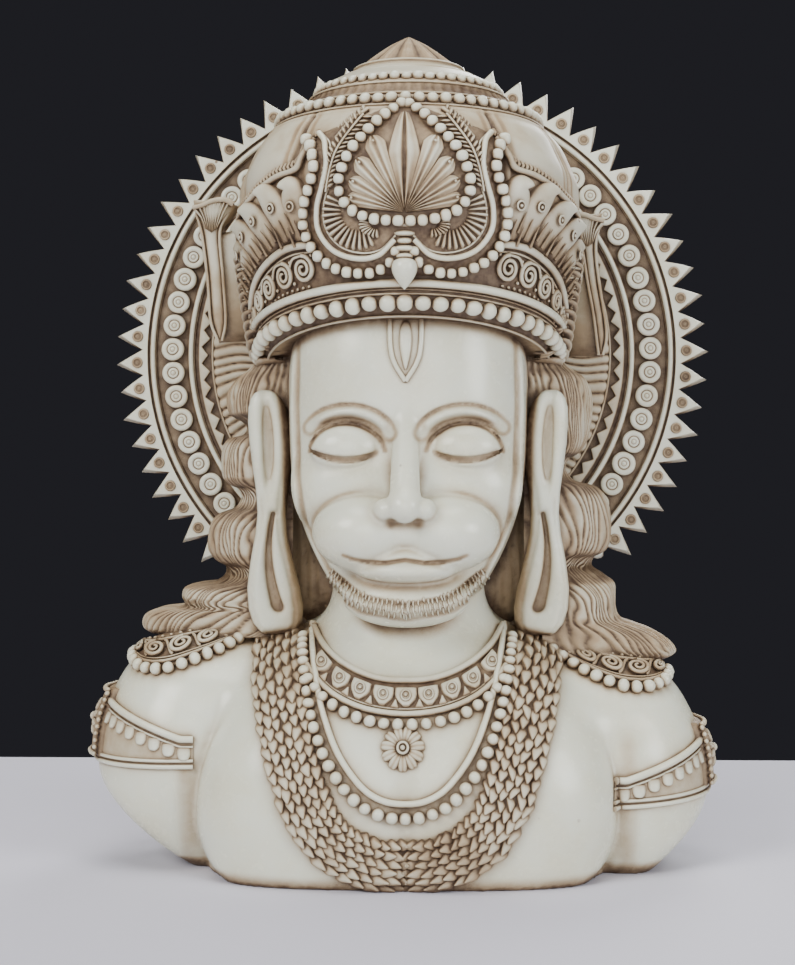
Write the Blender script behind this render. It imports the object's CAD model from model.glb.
"""A monkey-faced deity bust with a tall crown and a rayed halo, cast in ivory resin and antiqued brown.

Lengths are in millimetres in the CAD part's own frame: +Z up, the face along -Y, the origin under the foot.
build() turns them into metres. Carved parts are made three ways: as fields (smoothly joined solids), as
strips (leaves, petals and strokes laid on a surface) and as beads and cords.
"""
import math

import bpy
import numpy as np
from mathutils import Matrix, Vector


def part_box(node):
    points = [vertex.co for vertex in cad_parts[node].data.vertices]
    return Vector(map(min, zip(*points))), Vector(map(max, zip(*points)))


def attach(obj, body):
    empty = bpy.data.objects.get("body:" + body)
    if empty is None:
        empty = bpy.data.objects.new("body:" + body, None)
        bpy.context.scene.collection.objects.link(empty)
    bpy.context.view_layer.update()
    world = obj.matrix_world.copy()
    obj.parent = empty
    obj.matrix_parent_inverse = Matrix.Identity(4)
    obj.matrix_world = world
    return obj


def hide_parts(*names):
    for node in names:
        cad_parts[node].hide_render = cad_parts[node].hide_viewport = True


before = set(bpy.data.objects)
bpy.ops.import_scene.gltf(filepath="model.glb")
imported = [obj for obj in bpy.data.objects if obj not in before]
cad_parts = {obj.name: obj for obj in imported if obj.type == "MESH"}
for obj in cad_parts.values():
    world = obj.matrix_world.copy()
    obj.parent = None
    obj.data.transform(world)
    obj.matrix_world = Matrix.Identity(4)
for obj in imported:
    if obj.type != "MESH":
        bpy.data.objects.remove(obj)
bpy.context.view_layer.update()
rng = np.random.default_rng(7)
LEFT, RIGHT = -1, 1      # the signs of X on the two sides
SIDES = {"left": LEFT, "right": RIGHT}
INSIDE_Y = 20            # a depth inside the bust that every sheet faces away from


def cad_mm(node):
    """The lowest and highest corners of a CAD node, in millimetres."""
    return [np.array(corner) * 1000 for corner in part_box(node)]


# ---------------------------------------------------------------- small numeric tools

def table(x, pairs):
    """Straight-line lookup in [[x, y], ...]."""
    xs, ys = zip(*pairs)
    return np.interp(x, xs, ys)


def step_up(a, b, x):
    """0 before a, 1 after b, smooth between."""
    t = np.clip((x - a) / (b - a), 0, 1)
    return t * t * (3 - 2 * t)


def curve(points, t):
    """A Catmull-Rom curve through points, at t from 0 to 1 along the list."""
    p = np.asarray(points, float)
    p = np.vstack([2 * p[0] - p[1], p, 2 * p[-1] - p[-2]])
    s = np.clip(np.asarray(t, float), 0, 1) * (len(p) - 3)
    i = np.minimum(s.astype(int), len(p) - 4)
    f = (s - i)[..., None]
    a, b, c, d = p[i], p[i + 1], p[i + 2], p[i + 3]
    square, cube = 2 * a - 5 * b + 4 * c - d, 3 * b - a - 3 * c + d
    return 0.5 * (2 * b + (c - a) * f + square * f ** 2 + cube * f ** 3)


def smooth(points, count):
    """The same curve as count points."""
    return curve(points, np.linspace(0, 1, count))


def turns(count):
    """Angles evenly round a full turn."""
    return np.linspace(0, 2 * math.pi, count, endpoint=False)


def heading(angle):
    """The direction at an angle from upright, towards +X."""
    return np.array([math.sin(angle), math.cos(angle)])


def alike(*values):
    """The values as float arrays of one common shape."""
    return np.broadcast_arrays(*[np.asarray(value, float) for value in values])


def ramp(start, rise=0.0):
    """A straight-line profile along a leaf, for t from 0 to 1."""
    return lambda t: start + rise * t


def bulge(base, rise, low=0.0, high=1.0, power=1.0):
    """A profile along a leaf that swells like half a sine wave, cut off before low and after high."""
    return lambda t: base + rise * np.sin(math.pi * np.clip(t, low, high)) ** power


def evenly(path, pitch=None, count=None, inset=0.0):
    """Points at equal distances along a dense path."""
    steps = np.linalg.norm(np.diff(path, axis=0), axis=1)
    run = np.concatenate([[0], np.cumsum(steps)])
    whole = run[-1] - 2 * inset
    count = count or int(whole / pitch) + 1
    at = inset + np.linspace(0, whole, count)
    return np.stack([np.interp(at, run, path[:, k]) for k in range(path.shape[1])], axis=1)


def unit(v):
    """Vectors scaled to length 1."""
    return v / np.maximum(np.linalg.norm(v, axis=-1, keepdims=True), 1e-9)


def mirrored(half):
    """A curve's right half, from the middle outwards, made whole from left to right."""
    half = np.asarray(half, float)
    other = half[::-1] * [-1, 1]
    return np.vstack([other[:-1], half]) if abs(half[0][0]) < 1e-6 else np.vstack([other, half])


# ---------------------------------------------------------------- meshes

class Shape:
    """Points and faces gathered from many surfaces. stain is the brown wash left on each point, 0 to 1."""

    def __init__(self):
        self.points, self.stains, self.faces, self.count = [], [], {3: [], 4: []}, 0

    def add(self, points, faces, stain=0.0):
        """Takes in one more surface."""
        faces = np.asarray(faces)
        self.points.append(np.asarray(points, float).reshape(-1, 3))
        self.stains.append(np.broadcast_to(stain, np.shape(points)[:-1]).ravel())
        self.faces[faces.shape[1]].append(faces + self.count)
        self.count += len(self.points[-1])
        return self

    def mirror(self):
        """The same shape reflected in the plane x = 0."""
        other = Shape()
        other.points = [p * [-1, 1, 1] for p in self.points]
        other.stains = self.stains
        other.faces = {k: [f[:, ::-1] for f in fs] for k, fs in self.faces.items()}
        other.count = self.count
        return other


def build(name, shape, material, nodes, crease=None, flip=False):
    """Makes the Blender object, in metres, and says which CAD nodes it stands for."""
    mesh = bpy.data.meshes.new(name)
    points = np.concatenate(shape.points) / 1000
    loops, starts, at = [], [], 0
    for corners in (3, 4):
        if shape.faces[corners]:
            faces = np.concatenate(shape.faces[corners])
            faces = faces[:, ::-1] if flip else faces
            loops.append(faces.ravel())
            starts.append(at + corners * np.arange(len(faces)))
            at += faces.size
    mesh.vertices.add(len(points))
    mesh.vertices.foreach_set("co", points.astype(np.float32).ravel())
    mesh.loops.add(at)
    mesh.loops.foreach_set("vertex_index", np.concatenate(loops).astype(np.int32))
    starts = np.concatenate(starts).astype(np.int32)
    mesh.polygons.add(len(starts))
    mesh.polygons.foreach_set("loop_start", starts)
    stain = mesh.attributes.new("stain", "FLOAT", "POINT")
    stain.data.foreach_set("value", np.concatenate(shape.stains).astype(np.float32))
    mesh.update(calc_edges=True)
    mesh.validate()
    mesh.shade_smooth()
    if crease:
        mesh.set_sharp_from_angle(angle=math.radians(crease))
    mesh.materials.append(material)
    piece = bpy.data.objects.new(name, mesh)
    bpy.context.scene.collection.objects.link(piece)
    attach(piece, "root")
    if nodes:
        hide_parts(*nodes)
    return piece


def grid_faces(rows, cols, wrap_rows=False, wrap_cols=False):
    """Quads over a grid of points stored row by row."""
    last_row, last_col = rows if wrap_rows else rows - 1, cols if wrap_cols else cols - 1
    r, c = np.meshgrid(np.arange(last_row), np.arange(last_col), indexing="ij")
    r2, c2 = (r + 1) % rows, (c + 1) % cols
    return np.stack([r * cols + c, r * cols + c2, r2 * cols + c2, r2 * cols + c], -1).reshape(-1, 4)


def sphere_mesh(rings=9, sides=16):
    """A unit sphere with one point at each pole: points and triangles."""
    lat = np.linspace(-math.pi / 2, math.pi / 2, rings + 2)[1:-1]
    lon = turns(sides)
    la, lo = np.meshgrid(lat, lon, indexing="ij")
    body = np.stack([np.cos(la) * np.cos(lo), np.cos(la) * np.sin(lo), np.sin(la)], -1).reshape(-1, 3)
    points = np.vstack([body, [[0, 0, -1], [0, 0, 1]]])
    quads = grid_faces(rings, sides, wrap_cols=True)
    tris = np.vstack([quads[:, [0, 1, 2]], quads[:, [0, 2, 3]]])
    k = np.arange(sides)
    low = np.stack([(k + 1) % sides, k, np.full(sides, len(body))], -1)
    base = (rings - 1) * sides
    high = np.stack([base + k, base + (k + 1) % sides, np.full(sides, len(body) + 1)], -1)
    return points, np.vstack([tris, low, high])


SPHERE, SPHERE_FACES = sphere_mesh()


def beads(shape, centres, radius, rough=0.05, square=1.0):
    """Beads, each a little uneven, as carved ones are. square under 1 makes them more like rounded cubes."""
    centres = np.asarray(centres, float)
    radius = np.broadcast_to(radius, len(centres))
    ball = np.sign(SPHERE) * np.abs(SPHERE) ** square
    for centre, r in zip(centres, radius):
        size = r * (1 + rng.normal(0, rough, 3))
        shape.add(centre + rng.normal(0, rough * r * 0.6, 3) + ball * size, SPHERE_FACES)


def tube(shape, path, radius, sides=8, closed=False, stain=0.0):
    """A cord along a dense path."""
    path = np.asarray(path, float)
    n = len(path)
    if closed:
        tangent = unit(np.roll(path, -1, 0) - np.roll(path, 1, 0))
    else:
        tangent = unit(np.gradient(path, axis=0))
    guide = np.tile([0.0, -1.0, 0.0], (n, 1))
    guide[np.abs((guide * tangent).sum(1)) > 0.95] = [1, 0, 0]
    side = unit(np.cross(tangent, guide))
    up = np.cross(side, tangent)
    angle = turns(sides)
    r = np.broadcast_to(radius, n)[:, None, None]
    ring = side[:, None] * np.cos(angle)[None, :, None] + up[:, None] * np.sin(angle)[None, :, None]
    shape.add(path[:, None] + ring * r, grid_faces(n, sides, wrap_rows=closed, wrap_cols=True), stain)
    if not closed:
        for end, order in ((0, 1), (n - 1, -1)):
            shape.add(np.vstack([path[end] + ring[end] * r[end], path[end:end + 1]]),
                      np.array([[i, (i + 1) % sides, sides] for i in range(sides)])[:, ::order])


def sheet(shape, points, stain=0.0):
    """Adds a grid of points, rows by columns, as a sheet that faces away from the middle of the bust."""
    rows, cols = points.shape[:2]
    r, c = rows // 2, cols // 2
    here = points[r, c]
    normal = np.cross(points[r, c + 1] - here, points[r + 1, c] - here)
    faces = grid_faces(rows, cols)
    out = here - [0, INSIDE_Y, here[2]]
    shape.add(points, faces if normal @ out > 0 else faces[:, ::-1], stain)


def strip(shape, place, spine, half, height, rows=16, cols=9, sink=0.5, grooves=0, depth=0.25, fold=0.0,
          power=0.5, curl=0.0, stain=0.35):
    """Carved leaves on a surface. spine holds 2-D points, or a stack of such lists for many leaves alike.

    place(a, b, h) puts 2-D points on the surface, out from it by h. half is a leaf's half width along t,
    height its swell. grooves run along the leaf, fold is the depth of the line down its middle, curl lifts
    one edge towards the tip, and stain is the wash at its edges and foot.
    """
    spines = np.asarray(spine, float)
    spines = spines if spines.ndim == 3 else spines[None]
    t = np.linspace(0, 1, rows)
    line = np.stack([curve(each, t) for each in spines])
    along = unit(np.gradient(line, axis=1))
    across = np.stack([along[..., 1], -along[..., 0]], -1)
    u = np.linspace(-1, 1, cols)[None]
    half_width, swell = half(t)[:, None], height(t)[:, None]
    flat = line[:, :, None] + across[:, :, None] * (u * half_width)[..., None]
    t = t[:, None]
    h = swell * (1 - u ** 2) ** power - sink * (np.abs(u) > 0.999) + curl * u * t * (1 - u ** 4)
    brown = np.clip(np.abs(u) ** 6 + 0.8 * (1 - t) ** 4, 0, 1)
    if grooves:
        cut = (0.5 + 0.5 * np.cos(u * math.pi * grooves)) * (1 - u ** 2) * step_up(0.0, 0.1, t)
        h = h - depth * cut
        brown = brown + 0.9 * cut ** 2
    if fold:
        cut = np.exp(-(u / 0.12) ** 2) * step_up(1.0, 0.8, t)
        h = h - fold * cut
        brown = brown + cut
    h[0] -= sink
    h[-1] -= sink
    for patch in place(flat[..., 0], flat[..., 1], np.broadcast_to(h, flat.shape[:-1])):
        sheet(shape, patch, stain * np.clip(brown, 0, 1.3))


def lathe(shape, profile, centre, sides=128, wave=None, stain=0.0):
    """A turned shape about an upright axis. profile holds [radius, height]; wave(angle, k) scales ring k."""
    profile = np.asarray(profile, float)
    angle = turns(sides)
    radius = np.repeat(profile[:, :1], sides, 1)
    if wave:
        radius = radius * np.stack([wave(angle, k) for k in range(len(profile))])
    height = np.repeat(profile[:, 1:], sides, 1)
    points = np.stack([radius * np.cos(angle), radius * np.sin(angle), height], -1)
    shape.add(points + np.asarray(centre), grid_faces(len(profile), sides, wrap_cols=True), stain)


# ---------------------------------------------------------------- fields

def join(a, b, k):
    """The union of two fields, blended over k."""
    h = np.maximum(k - np.abs(a - b), 0) / k
    return np.minimum(a, b) - h * h * k / 4


def carve(a, b, k):
    """Field a with b cut out of it, the edge rounded over k."""
    return -join(-a, b, k)


def ellipsoid(p, centre, radii):
    """Roughly the distance to an ellipsoid's surface, negative inside."""
    q = p - centre
    k0 = np.linalg.norm(q / radii, axis=-1)
    k1 = np.linalg.norm(q / np.square(radii), axis=-1)
    return k0 * (k0 - 1) / np.maximum(k1, 1e-9)


def rod(p, a, b, ra, rb):
    """A rod with round ends from a to b, its radius going from ra to rb."""
    a, b = np.asarray(a, float), np.asarray(b, float)
    t = np.clip(((p - a) @ (b - a)) / ((b - a) @ (b - a)), 0, 1)
    return np.linalg.norm(p - a - t[..., None] * (b - a), axis=-1) - (ra + (rb - ra) * t)


def block(p, centre, radii, across=2.6, upright=2.6):
    """A rounded block: across sets how square it is seen from above, upright how square from the side."""
    q = np.abs(p - centre) / radii
    ring = (q[..., 0] ** across + q[..., 1] ** across) ** (1 / across)
    return ((ring ** upright + q[..., 2] ** upright) ** (1 / upright) - 1) * min(radii)


def path_distance(x, z, points):
    """Distance in the front plane from (x, z) to a polyline, and how far along it, from 0 to 1."""
    best, where = np.full(x.shape, 1e9), np.zeros(x.shape)
    points = np.asarray(points, float)
    for i in range(len(points) - 1):
        (ax, az), (bx, bz) = points[i], points[i + 1]
        length = (bx - ax) ** 2 + (bz - az) ** 2
        t = np.clip(((x - ax) * (bx - ax) + (z - az) * (bz - az)) / length, 0, 1)
        d = np.hypot(x - ax - t * (bx - ax), z - az - t * (bz - az))
        near = d < best
        best[near], where[near] = d[near], ((i + t) / (len(points) - 1))[near]
    return best, where


def hump(d, width):
    """A smooth ridge profile: 1 on the line, 0 past width."""
    t = np.clip(1 - (d / width) ** 2, 0, 1)
    return t * t


def chunks(field, points, size=200000):
    """The field at many points, worked out a part at a time to spare memory."""
    return np.concatenate([field(points[i:i + size]) for i in range(0, len(points), size)])


def mesh_field(field, low, high, step, polish=2):
    """A quad mesh of the surface where the field is zero, between two corners, by surface nets.

    The field is sampled first in coarse blocks of k steps, and then at every step in the blocks near the
    surface.
    """
    low, high = np.asarray(low, float), np.asarray(high, float)
    k, far = 5, 9
    blocks = np.ceil((high - low) / (step * k)).astype(int)
    axes = [low[i] + step * k * (np.arange(blocks[i]) + 0.5) for i in range(3)]
    centres = np.stack(np.meshgrid(*axes, indexing="ij"), -1)
    coarse = chunks(field, centres.reshape(-1, 3)).reshape(blocks)
    near = np.abs(coarse) < step * k * 1.15 + 1.0
    size = blocks * k + 1
    value = np.ones(size) * far
    value[:-1, :-1, :-1] = np.kron(np.sign(coarse) * far, np.ones((k, k, k)))
    for axis in range(3):
        edge = [slice(None)] * 3
        before = [slice(None)] * 3
        edge[axis], before[axis] = -1, -2
        value[tuple(edge)] = value[tuple(before)]
    live = np.zeros(size, bool)
    big = np.kron(near, np.ones((k, k, k), bool))
    for corner in np.ndindex(2, 2, 2):
        live[tuple(slice(start, start + length) for start, length in zip(corner, big.shape))] |= big
    index = np.argwhere(live)
    value[live] = chunks(field, low + index * step)
    inside = value < 0
    cells = sum(inside[i:size[0] - 1 + i, j:size[1] - 1 + j, m:size[2] - 1 + m].astype(np.int8)
                for i, j, m in np.ndindex(2, 2, 2))
    mixed = (cells > 0) & (cells < 8)
    cell = np.argwhere(mixed)
    number = np.full(mixed.shape, -1)
    number[mixed] = np.arange(len(cell))
    total, crossings = np.zeros((len(cell), 3)), np.zeros(len(cell))
    for axis in range(3):
        others = [o for o in range(3) if o != axis]
        for i, j in np.ndindex(2, 2):
            start = np.zeros(3, int)
            start[others[0]], start[others[1]] = i, j
            end = start.copy()
            end[axis] = 1
            va, vb = value[tuple((cell + start).T)], value[tuple((cell + end).T)]
            cross = (va < 0) != (vb < 0)
            t = np.where(cross, va / np.where(cross, va - vb, 1), 0)
            total += np.where(cross[:, None], start + (end - start) * t[:, None], 0)
            crossings += cross
    points = low + step * (cell + total / crossings[:, None])
    quads = []
    for axis in range(3):
        o1, o2 = [o for o in range(3) if o != axis]
        front = [slice(1, -1)] * 3
        front[axis] = slice(0, -1)
        back = list(front)
        back[axis] = slice(1, None)
        a, b = inside[tuple(front)], inside[tuple(back)]
        where = np.argwhere(a != b)
        offset = np.ones(3, int)
        offset[axis] = 0
        base = where + offset
        e1, e2 = np.zeros(3, int), np.zeros(3, int)
        e1[o1], e2[o2] = 1, 1
        ids = [number[tuple((base - d).T)] for d in (e1 + e2, e2, np.zeros(3, int), e1)]
        face = np.stack(ids, 1)
        out = a[tuple(where.T)] if axis != 1 else ~a[tuple(where.T)]
        face[~out] = face[~out][:, ::-1]
        quads.append(face)
    faces = np.concatenate(quads)
    faces = faces[(faces >= 0).all(1)]
    for _ in range(polish):
        slope = gradient(field, points)
        move = -chunks(field, points)[:, None] * slope / np.maximum((slope ** 2).sum(1), 0.05)[:, None]
        points = points + np.clip(move, -step * 0.6, step * 0.6)
    return points, faces


def gradient(field, points, eps=0.05):
    """The field's slope at each point."""
    g = np.empty(points.shape)
    for axis in range(3):
        d = np.zeros(3)
        d[axis] = eps
        g[:, axis] = (chunks(field, points + d) - chunks(field, points - d)) / (2 * eps)
    return g


def drop_on(field, points, h=0.0):
    """The points moved to a field's nearest surface, and out from it by h."""
    shape = np.shape(points)
    p = np.asarray(points, float).reshape(-1, 3).copy()
    for _ in range(6):
        slope = gradient(field, p)
        move = chunks(field, p)[:, None] * slope / np.maximum((slope ** 2).sum(1), 0.05)[:, None]
        p -= np.clip(move, -4, 4)
    normal = unit(gradient(field, p))
    return (p + normal * np.broadcast_to(h, shape[:-1]).reshape(-1, 1)).reshape(shape)


def seat(field, start, direction, h=0.0, reach=60.0):
    """Where rays from start along direction meet a field's surface, or the surface nearest to their end."""
    shape = np.shape(start)
    p = np.asarray(start, float).reshape(-1, 3).copy()
    direction = np.broadcast_to(direction, shape).reshape(-1, 3)
    gone = np.zeros(len(p))
    for _ in range(45):
        move = np.minimum(np.clip(field(p), -3, 6) * 0.8, reach - gone)
        gone += move
        p += direction * move[:, None]
    return drop_on(field, p.reshape(shape), h)


# ---------------------------------------------------------------- materials

def mix_colour(nodes, links, factor, a, b):
    """A mix of two colours, each a tuple or a socket."""
    mix = nodes.new("ShaderNodeMix")
    mix.data_type = "RGBA"
    for socket, value in ((mix.inputs["A"], a), (mix.inputs["B"], b)):
        if isinstance(value, tuple):
            socket.default_value = (*value, 1)
        else:
            links.new(value, socket)
    links.new(factor, mix.inputs["Factor"])
    return mix.outputs["Result"]


def antiqued(name, ivory, tan, deep, reach, wash, grain, gloss):
    """Cast resin with a brown wash wiped off its high places and left in its recesses.

    reach is how far a recess gathers wash, in metres; wash is how much is left on open surfaces;
    grain is the depth of the casting's fine unevenness.
    """
    material = bpy.data.materials.new(name)
    material.use_nodes = True
    nodes, links = material.node_tree.nodes, material.node_tree.links
    shader = nodes["Principled BSDF"]
    place = nodes.new("ShaderNodeTexCoord").outputs["Object"]

    def noise(scale, detail, rough=0.55):
        """Cloudy noise, about 0.3 to 0.7."""
        node = nodes.new("ShaderNodeTexNoise")
        node.inputs["Scale"].default_value = scale
        node.inputs["Detail"].default_value = detail
        node.inputs["Roughness"].default_value = rough
        links.new(place, node.inputs["Vector"])
        return node.outputs["Fac"]

    def remap(value, low, high, to_low, to_high):
        """Takes low..high to to_low..to_high, held at both ends."""
        node = nodes.new("ShaderNodeMapRange")
        for key, number in (("From Min", low), ("From Max", high), ("To Min", to_low), ("To Max", to_high)):
            node.inputs[key].default_value = number
        links.new(value, node.inputs["Value"])
        return node.outputs["Result"]

    def maths(kind, a, b):
        """One sum or product of sockets or numbers."""
        node = nodes.new("ShaderNodeMath")
        node.operation = kind
        for socket, value in zip(node.inputs, (a, b)):
            if isinstance(value, float):
                socket.default_value = value
            else:
                links.new(value, socket)
        return node.outputs["Value"]

    hidden = nodes.new("ShaderNodeAmbientOcclusion")
    hidden.samples = 6
    hidden.inputs["Distance"].default_value = reach
    recess = remap(hidden.outputs["AO"], 0.92, 0.36, 0.0, 1.25)
    painted = nodes.new("ShaderNodeAttribute")
    painted.attribute_name = "stain"
    blotch = noise(55, 4)
    speck = noise(420, 3)
    streak = noise(150, 5, 0.7)
    gathered = maths("ADD", recess, painted.outputs["Fac"])
    gathered = maths("MULTIPLY", gathered, remap(streak, 0.3, 0.7, 0.72, 1.22))
    film = maths("ADD", gathered, remap(blotch, 0.45, 0.75, wash * 0.35, wash))
    thick = maths("MULTIPLY", remap(film, 0.62, 1.25, 0.0, 1.0), remap(speck, 0.3, 0.6, 0.75, 1.0))
    yellowed = tuple(c * k for c, k in zip(ivory, (1.0, 0.975, 0.91)))
    warm = mix_colour(nodes, links, remap(blotch, 0.35, 0.65, 0.0, 1.0), ivory, yellowed)
    coloured = mix_colour(nodes, links, remap(film, 0.04, 0.62, 0.0, 1.0), warm, tan)
    coloured = mix_colour(nodes, links, thick, coloured, deep)
    pit = nodes.new("ShaderNodeTexVoronoi")
    pit.inputs["Scale"].default_value = 95
    links.new(place, pit.inputs["Vector"])
    dots = remap(pit.outputs["Distance"], 0.035, 0.06, 1.0, 0.0)
    pits = maths("MULTIPLY", dots, remap(noise(30, 2), 0.56, 0.62, 0.0, 1.0))
    dirt = tuple(0.5 * (a + b) for a, b in zip(tan, deep))
    links.new(mix_colour(nodes, links, pits, coloured, dirt), shader.inputs["Base Color"])
    rough = maths("ADD", remap(film, 0.0, 0.8, gloss, 0.62), remap(speck, 0.4, 0.7, 0.0, 0.06))
    links.new(rough, shader.inputs["Roughness"])
    shader.inputs["IOR"].default_value = 1.5
    shader.inputs["Subsurface Weight"].default_value = 0.12
    shader.inputs["Subsurface Radius"].default_value = (1.0, 0.8, 0.55)
    shader.inputs["Subsurface Scale"].default_value = 0.002
    uneven = nodes.new("ShaderNodeBump")
    uneven.inputs["Strength"].default_value = 1.0
    uneven.inputs["Distance"].default_value = grain
    grains = maths("ADD", maths("MULTIPLY", noise(190, 3), 0.6), maths("MULTIPLY", speck, 0.4))
    links.new(grains, uneven.inputs["Height"])
    links.new(uneven.outputs["Normal"], shader.inputs["Normal"])
    return material


IVORY, TAN, DEEP = (0.745, 0.762, 0.635), (0.40, 0.290, 0.170), (0.075, 0.040, 0.020)
smooth_resin = antiqued("smooth_resin", IVORY, TAN, DEEP, 0.0040, 0.13, 0.00007, 0.20)
carved_resin = antiqued("carved_resin", IVORY, TAN, DEEP, 0.0036, 0.55, 0.00012, 0.34)
hair_resin = antiqued("hair_resin", IVORY, TAN, DEEP, 0.0036, 0.72, 0.00012, 0.38)
plate_resin = antiqued("plate_resin", IVORY, TAN, DEEP, 0.0030, 0.30, 0.00012, 0.36)
bare_resin = antiqued("bare_resin", (0.42, 0.34, 0.25), (0.30, 0.22, 0.15), DEEP, 0.0030, 0.3, 0.0002, 0.6)


# ---------------------------------------------------------------- body

SHOULDER_DROP = 7        # the +X shoulder is cast lower
AXIS_Y = -2              # head, neck and crown stand on this axis
ARM_X = 62
CHEST_X = 60.5           # the line where chest and arm meet


def body_field(p):
    """Chest, shoulders, arms cut off above the elbow, and neck."""
    x, y = p[..., 0], p[..., 1]
    z = p[..., 2] + SHOULDER_DROP * step_up(20, 62, x)
    wide = np.abs(np.where(x > 45, x + 0.10 * (x - 45), x))
    q = np.stack([wide, y, z], -1)
    level = np.stack([np.abs(x), y, p[..., 2]], -1)
    chest = block(level, (0, AXIS_Y, 18), (CHEST_X, 48, 52), 3.6, 2.0)
    foot = block(level, (0, AXIS_Y + 2, 0), (57, 45, 9), 3.2, 6)
    flank = np.abs(x) - CHEST_X + 0.045 * np.maximum(16 - p[..., 2], 0) ** 2
    chest = join(-join(-chest, -flank, 5), foot, 2)
    shoulder = ellipsoid(q, (ARM_X, AXIS_Y - 0.5, 29), (27.4, 28, 36))
    under = (wide - 62.5) * 0.62 - (z - 0.8) * 0.78
    arm = -join(-shoulder, -under, 5)
    yoke = rod(q, (0, 3, 52), (58, 1, 45), 18, 15)
    d = join(join(chest, yoke, 12), arm, 0.7 + 13 * step_up(37, 54, z))
    neck = np.hypot(x, y - (AXIS_Y - 2)) - (22.2 + 1.2 * np.cos((p[..., 2] - 60) / 9))
    neck = np.maximum(neck, p[..., 2] - 86)
    d = join(d, neck, 7)
    d = d + 1.1 * np.exp(-(x / 3.2) ** 2) * step_up(34, 24, p[..., 2]) * (y < 0)
    return np.maximum(d, -p[..., 2])


body = Shape()
points, faces = mesh_field(body_field, (-94, -54, -2), (94, 50, 88), 0.95)
crease = np.abs(np.abs(points[:, 0]) - CHEST_X)
body.add(points, faces, 0.35 * hump(crease, 4) * step_up(42, 34, points[:, 2]) * (points[:, 1] < -8))
build("body_casting", body, smooth_resin, ["torso", "neck"])


def seen_on(field, start_y, x, z, h):
    """A point of a field's front, where (x, z) meets it from start_y on, out from the surface by h."""
    x, z = alike(x, z)
    start = np.stack([x, np.full(x.shape, start_y), z], -1)
    return seat(field, start, np.array([0.0, 1.0, 0.0]), h)


def on_body(x, z, h=0.0):
    """A point of the body's front."""
    return seen_on(body_field, -62.0, x, z, h)


# ---------------------------------------------------------------- head

HAIRLINE_Z = 153
CHIN_Z = 70
THIRD = (HAIRLINE_Z - CHIN_Z) / 3
BROW_Z = HAIRLINE_Z - THIRD
EYE_Z = BROW_Z - 0.30 * THIRD
NOSE_Z = CHIN_Z + THIRD
MOUTH_Z = CHIN_Z + 0.5 * THIRD
EYE_X = 16
FACE_Y = AXIS_Y - 36
JAW = [[32, 150], [32.3, 128], [31.6, 110], [29.6, 95], [23.4, 82.5], [12, 75], [0, 73]]


def head_field(p):
    """Face and skull: a rounded block with a lobed muzzle, a short nose, lowered lids and a plain jaw."""
    x, y, z = np.abs(p[..., 0]), p[..., 1], p[..., 2]
    narrow = 1 + 0.10 * np.logaddexp(0, (101 - z) / 8)
    q = np.stack([x, y, z], -1)
    d = block(np.stack([x * narrow, y, z], -1), (0, AXIS_Y, 121), (34.5, 36.6, 53), 2.6, 3.2)
    d = carve(d, ellipsoid(q, (EYE_X, FACE_Y - 4.8, EYE_Z + 1.6), (10.8, 6.6, 7.4)), 6)
    d = join(d, ellipsoid(q, (19, FACE_Y + 11, NOSE_Z + 8), (11, 8, 8)), 8)
    d = join(d, ellipsoid(q, (0, FACE_Y + 7.5, CHIN_Z + 6), (17, 11, 7.5)), 7)
    muzzle = ellipsoid(q, (11.0, FACE_Y + 4.6, NOSE_Z - 3.4), (14.6, 13.6, 10.8))
    muzzle = join(muzzle, ellipsoid(p, (0, FACE_Y + 6.9, NOSE_Z - 3), (15, 13.6, 8.6)), 1.0)
    d = join(d, muzzle, 1.1)
    lips = ellipsoid(q, (0, FACE_Y + 2.0, MOUTH_Z + 0.4), (13.5, 10.8, 3.8))
    d = join(d, lips, 1.2)
    d = join(d, ellipsoid(q, (0, FACE_Y + 3.4, MOUTH_Z + 3.0), (17, 10.4, 5.5)), 0.8)
    bridge = rod(q, (0, FACE_Y + 2.5, BROW_Z + 1), (0, FACE_Y - 7.6, NOSE_Z + 5.5), 3.2, 4.1)
    wing = ellipsoid(q, (5.0, FACE_Y - 6.8, NOSE_Z + 2.8), (3.5, 4.4, 3.2))
    tip = ellipsoid(q, (0, FACE_Y - 8.8, NOSE_Z + 3.6), (4.8, 4.8, 4.2))
    nose = join(join(bridge, tip, 2.0), wing, 0.9)
    nose = carve(nose, ellipsoid(q, (3.7, FACE_Y - 9.6, NOSE_Z - 0.9), (1.8, 3.0, 1.5)), 0.6)
    d = join(d, nose, 1.4)
    shell = np.linalg.norm((q - (EYE_X, FACE_Y + 6.4, EYE_Z)) * (0.76, 1, 1.04), axis=-1)
    d = join(d, shell - 7.0, 0.5)
    bow = (x - EYE_X) ** 2
    upper = np.maximum(shell - 8.2, (EYE_Z - 2.2 + 0.022 * bow) - z)
    lower = np.maximum(shell - 7.8, z - (EYE_Z - 4.1 + 0.034 * bow))
    d = join(join(d, upper, 0.45), lower, 0.6)
    front = step_up(-14, -22, y)
    brow, along = path_distance(x, z, BROW_LINE)
    taper = step_up(0.01, 0.16, along) * step_up(0.99, 0.80, along) * front
    d = d - 1.0 * hump(brow, 1.5) * taper + 0.5 * hump(np.abs(brow - 2.0), 0.7) * taper
    crease, along = path_distance(x, z, LID_LINE)
    d = d + 0.7 * hump(crease, 0.8) * step_up(0, 0.15, along) * step_up(1, 0.85, along) * front
    mouth, along = path_distance(x, z, MOUTH_LINE)
    d = d + 0.7 * hump(mouth, 0.9) * step_up(1.0, 0.8, along) * front
    jaw, along = path_distance(x, z, JAW)
    edge = step_up(0, 0.1, along) * front
    d = d - 0.85 * hump(jaw, 1.5) * edge + 0.45 * hump(np.abs(jaw - 2.1), 0.8) * edge
    return np.maximum(np.maximum(d, y - 6), z - 158)


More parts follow.
